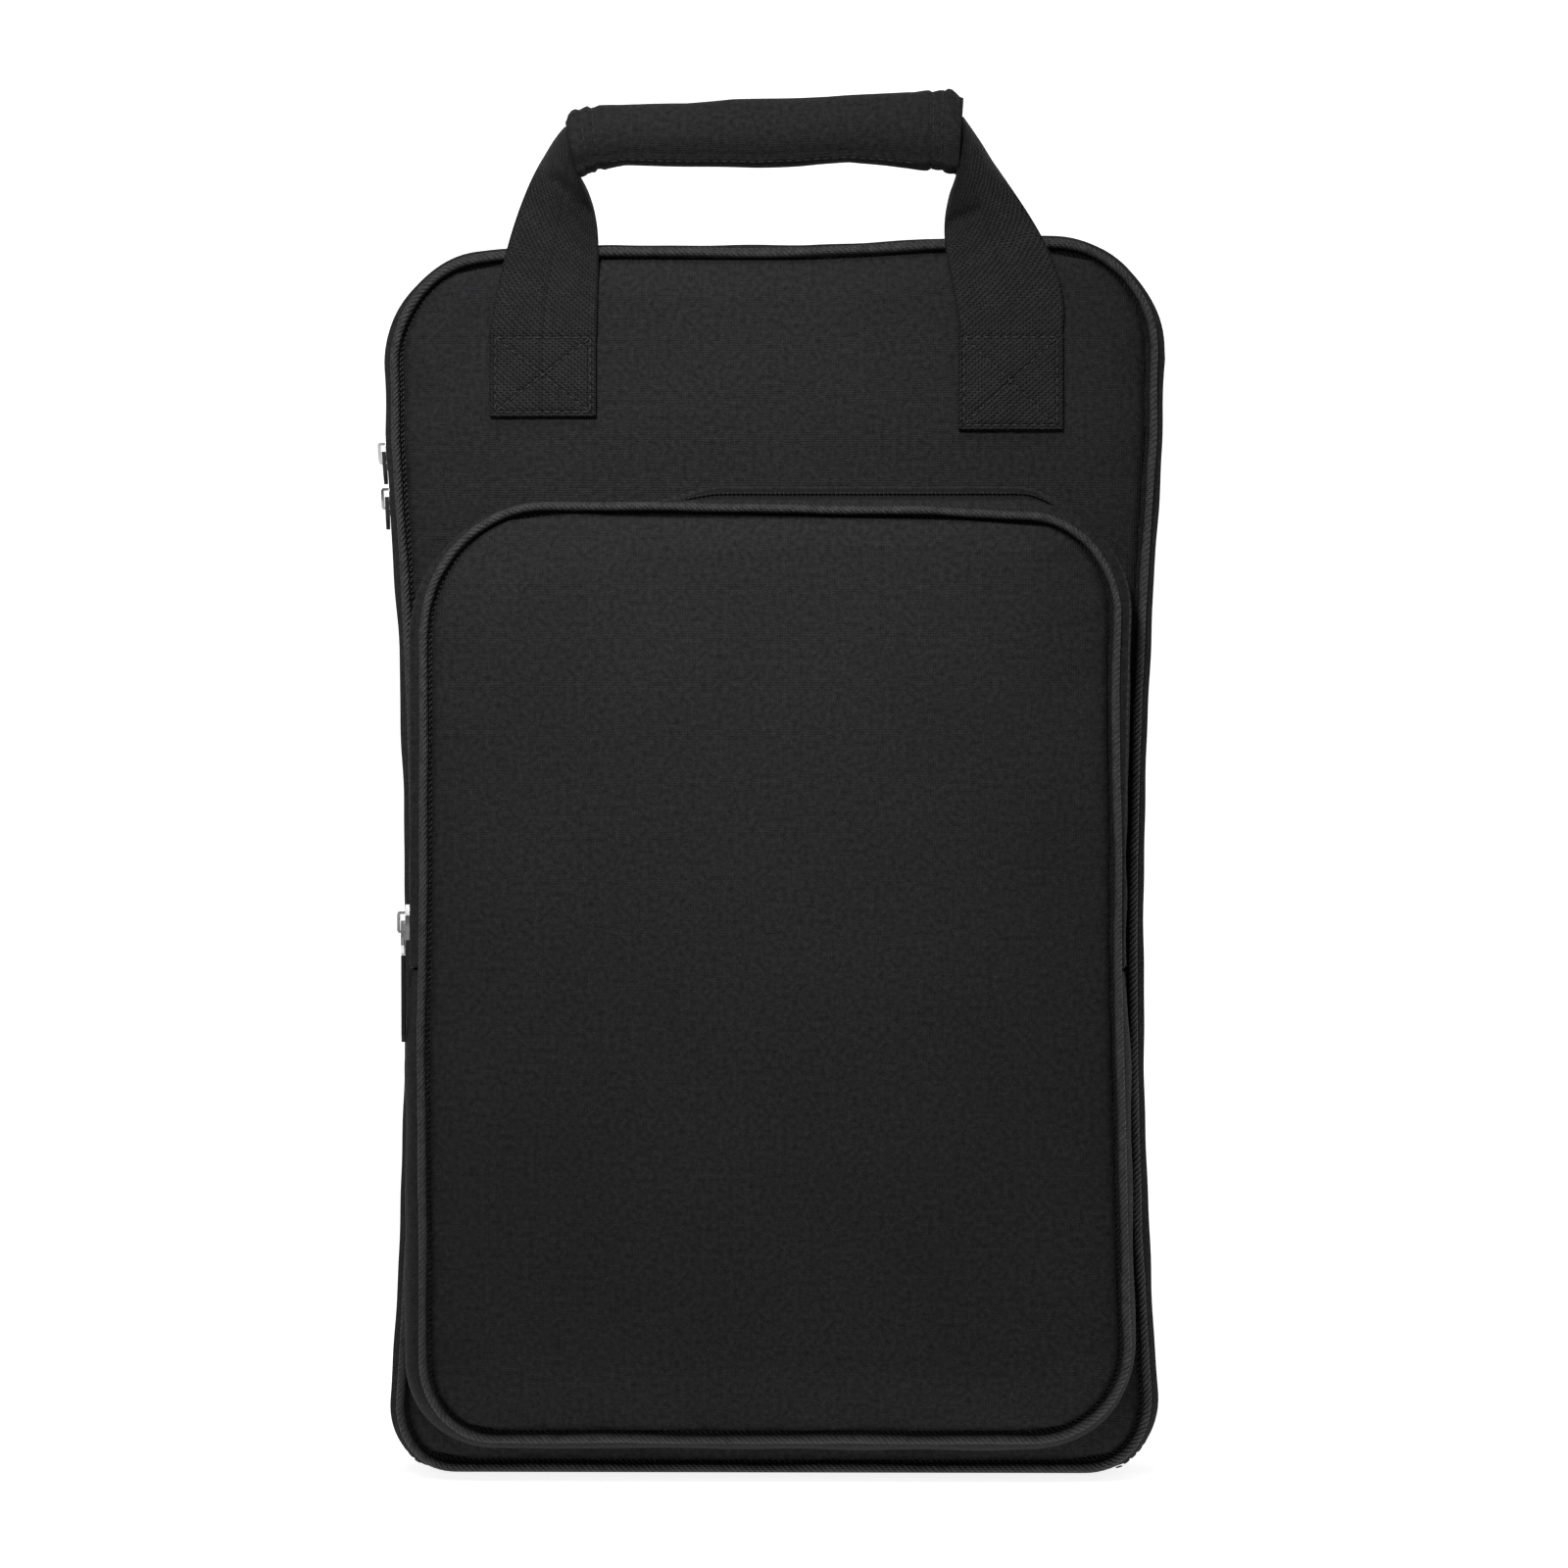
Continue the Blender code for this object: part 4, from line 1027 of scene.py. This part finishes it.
def cubic(points, t):
    """Points at t (0 to 1) on a curve with four control points in millimetres."""
    start, first, second, end = (np.array(point) * MM for point in points)
    t = t[:, None]
    return (1 - t) ** 3 * start + 3 * (1 - t) ** 2 * t * first + 3 * (1 - t) * t * t * second + t ** 3 * end


def half_angle(chord):
    """The half angle of an arc whose length is the webbing's width and whose chord is given."""
    share = np.clip(chord / WEB_WIDTH, 0.05, 0.9999)
    guesses = np.linspace(1e-3, 3.0, 3000)
    return np.interp(-share, -np.sin(guesses) / guesses, guesses)


def under_patch(grid, outer, low, high):
    """The panel's depth round a patch, as a smooth function of x and z that levels off above it."""
    centre = np.array([(low.x + high.x) / 2, (low.z + high.z) / 2])

    def terms(x, z):
        x, z = (x - centre[0]) / (20 * MM), (z - centre[1]) / (20 * MM)
        return joined(np.ones_like(x), x, z, x * x, x * z, z * z)

    x, z = grid[..., 0].ravel(), grid[..., 1].ravel()
    near = (np.abs(x - centre[0]) < 24 * MM) & (np.abs(z - centre[1]) < 22 * MM)
    fit = np.linalg.lstsq(terms(x[near], z[near]), outer.ravel()[near], rcond=None)[0]
    return lambda x, z: terms(x, np.minimum(z, high.z + 3 * MM)) @ fit


def near_segment(x, z, start, end):
    """Distance from points to a straight stitch line."""
    start, end = np.array(start), np.array(end)
    way = end - start
    t = unit(((x - start[0]) * way[0] + (z - start[1]) * way[1]) / (way @ way))
    return np.hypot(x - start[0] - t * way[0], z - start[1] - t * way[1])


def box_stitch(low, high, margin):
    """A box and its diagonals, as straight lines in XZ."""
    left, right = low.x + margin, high.x - margin
    base, top = low.z + margin * 0.7, high.z - margin * 0.7
    corners = [(left, base), (right, base), (right, top), (left, top)]
    box = [(corners[k], corners[(k + 1) % 4]) for k in range(4)]
    return box + [(corners[0], corners[2]), (corners[1], corners[3])]


# A crease pressed into each leg by the pull of the grip: two points in XZ, in millimetres.
CREASES = {"left": ((-80, 480.5), (-68, 469)), "right": ((63, 464), (74, 468.5))}


def leg_edges(side, low, high):
    """The webbing's outer and inner edges, from its stitched end up into the grip."""
    outer_x, inner_x = (low.x, high.x) if side == "left" else (high.x, low.x)
    patch_z = np.linspace(low.z, high.z, 50)[:-1]
    climb = np.linspace(0, 1, 60)
    tuck = np.linspace(0, TUCK, 5)[1:, None]
    edges = []
    for x, curve, rise in zip((outer_x, inner_x), LEG_EDGES[side], (-0.1, 0.5)):
        into = np.array([1.0 if side == "left" else -1.0, rise])
        stitched = joined(np.full(len(patch_z), x), patch_z)
        free = cubic(curve, climb)
        edges.append(np.concatenate([stitched, free, free[-1] + tuck * into]))
    return edges


def handle_leg(side, grid, outer_surface):
    """One webbing leg: flat where it is stitched to the panel, then bowed and creased up to the grip."""
    low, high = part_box(f"{side}_web_patch")
    outer_edge, inner_edge = leg_edges(side, low, high)
    middle = (outer_edge + inner_edge) / 2
    way = inner_edge - outer_edge
    chord = np.linalg.norm(way, axis=1)
    way /= chord[:, None]
    if side == "right":
        way = -way
    bow = eased((middle[:, 1] - high.z - BOW_START) / BOW_SPAN)
    angle = half_angle(chord) * np.maximum(bow, 1e-3)
    radius = chord / 2 / np.sin(angle)
    arc_depth = radius * (1 - np.cos(angle))
    climb = eased((middle[:, 1] - HANDLE_Z) / LEG_SPAN)
    grip_y = (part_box("grip_core")[0].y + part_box("grip_core")[1].y) / 2
    panel = under_patch(grid, outer_surface, low, high)
    free = unit((middle[:, 1] - high.z) / (4 * MM))
    thickness = PATCH_THICKNESS + (WEB_THICKNESS - PATCH_THICKNESS) * free
    across = np.linspace(-1, 1, 53)
    turn = angle[:, None] * across[None]
    beside = radius[:, None] * np.sin(turn)
    x = middle[:, :1] + way[:, :1] * beside
    z = middle[:, 1:] + way[:, 1:] * beside
    climb, lifted = climb[:, None], (climb * (grip_y - 0.55 * arc_depth))[:, None]
    lines = box_stitch(low, high, STITCH_MARGIN)
    pinch = sum(np.exp(-(near_segment(x, z, *line) / (0.8 * MM)) ** 2) for line in lines)
    from_crease = near_segment(x, z, *(np.array(point) * MM for point in CREASES[side]))
    crease = np.exp(-(from_crease / (2.2 * MM)) ** 2)
    # The bow, then what the stitches, the crease, the spine and the thin edges, and wear press in.
    sink = radius[:, None] * (1 - np.cos(turn))
    sink += 0.7 * MM * np.minimum(pinch, 1.2) * (1 - free[:, None])
    sink += CREASE_DEPTH * crease * (1 - np.abs(across) ** 6)
    sink += 0.22 * MM * np.exp(-(across / 0.05) ** 2) + 0.25 * MM * np.abs(across) ** 12
    sink += 0.3 * MM * ripple(joined(x.ravel(), z.ravel()), 30 * MM, 81).reshape(x.shape) * free[:, None]
    y = (1 - climb) * (panel(x, z) - PATCH_THICKNESS) + lifted + sink
    front = joined(x, y, z)
    shy = thickness[:, None] * (1 - 0.45 * np.abs(across) ** 16)
    back = joined(x, y + shy, z)
    section = np.concatenate([front, back[:, ::-1]], axis=1)
    flat = across * WEB_WIDTH / 2 * (1 if side == "left" else -1)
    around = np.concatenate([flat, flat[::-1], flat[:1]])
    lay = lay_grid(running_length(middle), around)[..., ::-1]
    web = lattice(f"{side}_webbing", section, lay, caps=True)
    dress(web, WEBBING_LOOK, None, (f"{side}_web_patch", f"{side}_handle_web"))
    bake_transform(web)
    rows = []
    for (x0, z0), (x1, z1) in lines:
        steps = np.linspace(0, 1, 20)
        x, z = x0 + (x1 - x0) * steps, z0 + (z1 - z0) * steps
        line = joined(x, panel(x, z) - PATCH_THICKNESS + 0.45 * MM, z)
        rows.append((line, np.tile((0.0, -1.0, 0.0), (20, 1))))
    stitches(f"{side}_patch_stitch", rows, COVER, thread=0.4 * MM)


# The grip's top and base lines, as points in XZ in millimetres.
GRIP_TOP = ((-75, 508.4), (-32, 508.6), (-15, 510.3), (20, 511.0), (40, 512.2), (52, 512.8), (61, 514.2),
            (70, 514.0))
GRIP_BASE = ((-75, 480.6), (-68, 483.2), (-62, 485.0), (-55, 486.2), (-42, 485.8), (-7, 485.4), (10, 485.8),
             (28, 487.2), (40, 486.1), (52, 484.6), (62, 483.6), (70, 481.8))
GRIP_LEFT = -75.3 * MM
GRIP_RIGHT = 69.4 * MM
GRIP_HALF_DEPTH = 12.5 * MM
GRIP_ROUND = 12 * MM                 # the radius at which its wrap is laid out
GRIP_WALL = 1.6 * MM
LEFT_ROWS = (5.6 * MM, 9.6 * MM)     # the stitch rows, measured in from either end
RIGHT_ROWS = (7.0 * MM, 10.2 * MM)
WRAP_EDGE = math.radians(227)        # where the wrap's edge lies: low on the front
LEFT_LEAN = 0.24                     # how the grip's ends slant: x lost or gained for each unit of height
RIGHT_LEAN = 0.07


def grip_shape(t, turn, shrink):
    """Points of the grip's wrap at lengths t (0 to 1) and angles turn, pulled in by shrink."""
    t, turn = np.meshgrid(t, turn, indexing="ij")
    x = GRIP_LEFT + (GRIP_RIGHT - GRIP_LEFT) * t
    top, base = (np.interp(x, *np.array(line).T * MM) for line in (GRIP_TOP, GRIP_BASE))
    half_depth = GRIP_HALF_DEPTH - shrink
    from_left = x - GRIP_LEFT
    from_right = GRIP_RIGHT - x
    pinch = sum(1.3 * MM * np.exp(-((place - row) / (1.3 * MM)) ** 2)
                for place, rows in ((from_left, LEFT_ROWS), (from_right, RIGHT_ROWS)) for row in rows)
    upper = unit(np.sin(turn))
    round_off = ((1.2 + 6.0 * upper) * MM * np.exp(-from_left / (2.6 * MM))
                 + (1.2 + 2.8 * upper) * MM * np.exp(-(from_right / (3.0 * MM)) ** 2))
    flat = joined(x, turn * GRIP_ROUND)
    solid = joined(x, GRIP_ROUND * np.cos(turn), GRIP_ROUND * np.sin(turn)).reshape(-1, 3)
    wave = 0.25 * MM * ripple(solid, 30 * MM, 71).reshape(t.shape)
    folds = 0.35 * MM * ripple(solid * (1, 2.2, 2.2), 9 * MM, 73).reshape(t.shape)
    wave += folds * (np.exp(-from_left / (12 * MM)) + np.exp(-from_right / (12 * MM)))
    overlap = (turn - WRAP_EDGE) % (2 * math.pi)
    step = 1.0 * MM * unit(overlap / 0.05) * np.exp(-overlap / 0.8)
    change = (wave + step - pinch - round_off) if shrink == 0 else -round_off
    centre_y = (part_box("grip_cover")[0].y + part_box("grip_cover")[1].y) / 2
    y = centre_y + (half_depth + change) * np.cos(turn)
    z = (top + base) / 2 + ((top - base) / 2 - shrink + change) * np.sin(turn)
    lean = RIGHT_LEAN * np.exp(-from_right / (9 * MM)) - LEFT_LEAN * np.exp(-from_left / (12 * MM))
    x = x + lean * (z - 495 * MM)
    return joined(x, y, z), flat


def grip():
    """The wrapped, padded grip with its hemmed ends, and the foam inside it."""
    turn = 2 * math.pi * np.arange(72) / 72
    t = np.linspace(0, 1, 110)
    outer, outer_lay = grip_shape(t, turn, 0)
    inner, inner_lay = grip_shape(t[::-6], turn, GRIP_WALL + 1.0 * MM)
    points = np.concatenate([outer, inner])
    lay = np.concatenate([outer_lay, inner_lay, outer_lay[:1]])
    whole_turn = (0, 2 * math.pi * GRIP_ROUND)
    lay = np.concatenate([lay, lay[:, :1] + whole_turn], axis=1)
    cover = lattice("grip_wrap", points, lay, wrap_rows=True)
    dress(cover, OXFORD_LOOK, HANDLE, ("grip_cover",))
    core_points, core_lay = grip_shape(np.linspace(0.14, 0.86, 20), turn[::3], GRIP_WALL + 1.5 * MM)
    core_lay = np.concatenate([core_lay, core_lay[:, :1] + whole_turn], axis=1)
    core = lattice("grip_foam", core_points, core_lay, caps=True)
    dress(core, FOAM_LOOK, HANDLE, ("grip_core",))
    lines = []
    span = GRIP_RIGHT - GRIP_LEFT
    circle = np.linspace(0, 2 * math.pi, 60)
    places = [row / span for row in LEFT_ROWS] + [1 - row / span for row in RIGHT_ROWS]
    for place in places:
        ring, _ = grip_shape(np.array([place]), circle, 0)
        out = joined(circle * 0, np.cos(circle), np.sin(circle))
        lines.append((ring[0] + out * 0.15 * MM, out))
    seam = WRAP_EDGE + 0.16
    length, _ = grip_shape(np.linspace(0.1, 0.88, 60), np.array([seam]), 0)
    out = np.tile((0.0, math.cos(seam), math.sin(seam)), (60, 1))
    lines.append((length[:, 0], out))
    stitches("grip_stitch", lines, HANDLE)


# Sliders, stage and camera -----------------------------------------------------

def sliders():
    """The sliders and their pulls, in the CAD's own shapes."""
    for name in ("upper", "lower", "pocket"):
        polished(f"{name}_slider", NICKEL_LOOK, f"{name}_slider", 0.35 * MM, 3)
    polished("upper_pull", RUBBER_LOOK, "upper_pull", 0.3 * MM, 3)
    polished("lower_pull", RUBBER_LOOK, "lower_pull", 0.3 * MM, 3)
    polished("pocket_pull", NICKEL_LOOK, "pocket_pull", 0.3 * MM, 3)
    polished("pocket_pull_tab", RUBBER_LOOK, "pocket_pull", 0.4 * MM, 3)


FLOOR_FRONT = -0.38                  # the floor begins just outside the picture
BACKDROP_Y = 3.6
BACKDROP_TURN = 0.8                  # radius of the curve between floor and wall
SWEEP_REACH = 6.0
WORLD_LIGHT = 0.105
SWEEP_GLOW = 0.85
KEY_PLACE = (-0.35, -1.7, 1.35)
KEY_AIM = (-0.02, 0, 0.358)
KEY_WATTS = 178
KEY_CONE = 14                        # degrees
KEY_BLEND = 0.55
KEY_RADIUS = 0.15
FILL_PLACE = (-0.1, -0.55, 1.55)     # the lamp overhead
FILL_AIM = (0, 0, 0.45)
FILL_WATTS = 6.0
FILL_SIZE = 0.5


def lamp(name, kind, place, aim, watts):
    """A lamp that shines from its place toward its aim."""
    light = bpy.data.lights.new(name, kind)
    light.energy = watts
    holder = bpy.data.objects.new(name, light)
    holder.location = place
    holder.rotation_euler = (Vector(aim) - Vector(place)).to_track_quat("-Z", "Y").to_euler()
    bpy.context.scene.collection.objects.link(holder)
    return light


def studio():
    """A pale sweep of floor and wall, a soft lamp high in front that favours the top, and a weaker one."""
    turns = np.radians(np.linspace(-90, 0, 25))
    profile = [(FLOOR_FRONT, 0.0)]
    profile += [(BACKDROP_Y + BACKDROP_TURN * math.cos(turn), BACKDROP_TURN * (1 + math.sin(turn)))
                for turn in turns]
    profile += [(BACKDROP_Y + BACKDROP_TURN, SWEEP_REACH)]
    vertices = [(x, y, z) for y, z in profile for x in (-SWEEP_REACH, SWEEP_REACH)]
    faces = [(2 * k, 2 * k + 1, 2 * k + 3, 2 * k + 2) for k in range(len(profile) - 1)]
    sweep = make_object("studio_sweep", vertices, faces)
    look = Look("studio_white", 0.95, specular=0.0)
    look.shader.inputs["Base Color"].default_value = (0.8, 0.8, 0.8, 1)
    look.shader.inputs["Emission Color"].default_value = (1, 1, 1, 1)
    look.shader.inputs["Emission Strength"].default_value = SWEEP_GLOW
    sweep.data.materials.append(look.material)
    world = bpy.data.worlds.new("studio_world")
    world.use_nodes = True
    background = world.node_tree.nodes["Background"]
    background.inputs["Color"].default_value = (1, 1, 1, 1)
    background.inputs["Strength"].default_value = WORLD_LIGHT
    bpy.context.scene.world = world
    key = lamp("key", "SPOT", KEY_PLACE, KEY_AIM, KEY_WATTS)
    key.spot_size = math.radians(KEY_CONE)
    key.spot_blend = KEY_BLEND
    key.shadow_soft_size = KEY_RADIUS
    fill = lamp("fill", "AREA", FILL_PLACE, FILL_AIM, FILL_WATTS)
    fill.size = FILL_SIZE
    bpy.context.scene.view_settings.view_transform = "Standard"


CAMERA_DISTANCE = 3.0
CAMERA_AZIMUTH = math.radians(1.2)
CAMERA_ELEVATION = math.radians(1.0)
VIEW_WIDTH = 581.5 * MM              # what the frame shows across, at the bag's front
VIEW_SHIFT = 4.5 * MM                # how far right of the bag's middle the camera aims, and how far below
VIEW_DROP = 0.5 * MM


def camera():
    """The photo's camera: far off, and almost straight in front."""
    low, high = cad_box
    target = Vector(((low[0] + high[0]) / 2 + VIEW_SHIFT, POCKET_Y / 2, high[2] / 2 - VIEW_DROP))
    data = bpy.data.cameras.new("camera")
    data.sensor_width = 36
    data.lens = data.sensor_width * CAMERA_DISTANCE / VIEW_WIDTH
    eye = bpy.data.objects.new("camera", data)
    away = Vector((math.sin(CAMERA_AZIMUTH) * math.cos(CAMERA_ELEVATION),
                   -math.cos(CAMERA_AZIMUTH) * math.cos(CAMERA_ELEVATION), math.sin(CAMERA_ELEVATION)))
    eye.location = target + away * CAMERA_DISTANCE
    eye.rotation_euler = (-away).to_track_quat("-Z", "Y").to_euler()
    bpy.context.scene.collection.objects.link(eye)
    bpy.context.scene.camera = eye


studio()
camera()
front_grid, front_surface = body_panels()
body_edges()
main_zip()
pocket()
pocket_zip()
sleeve()
for leg_side in LEG_EDGES:
    handle_leg(leg_side, front_grid, front_surface)
grip()
sliders()
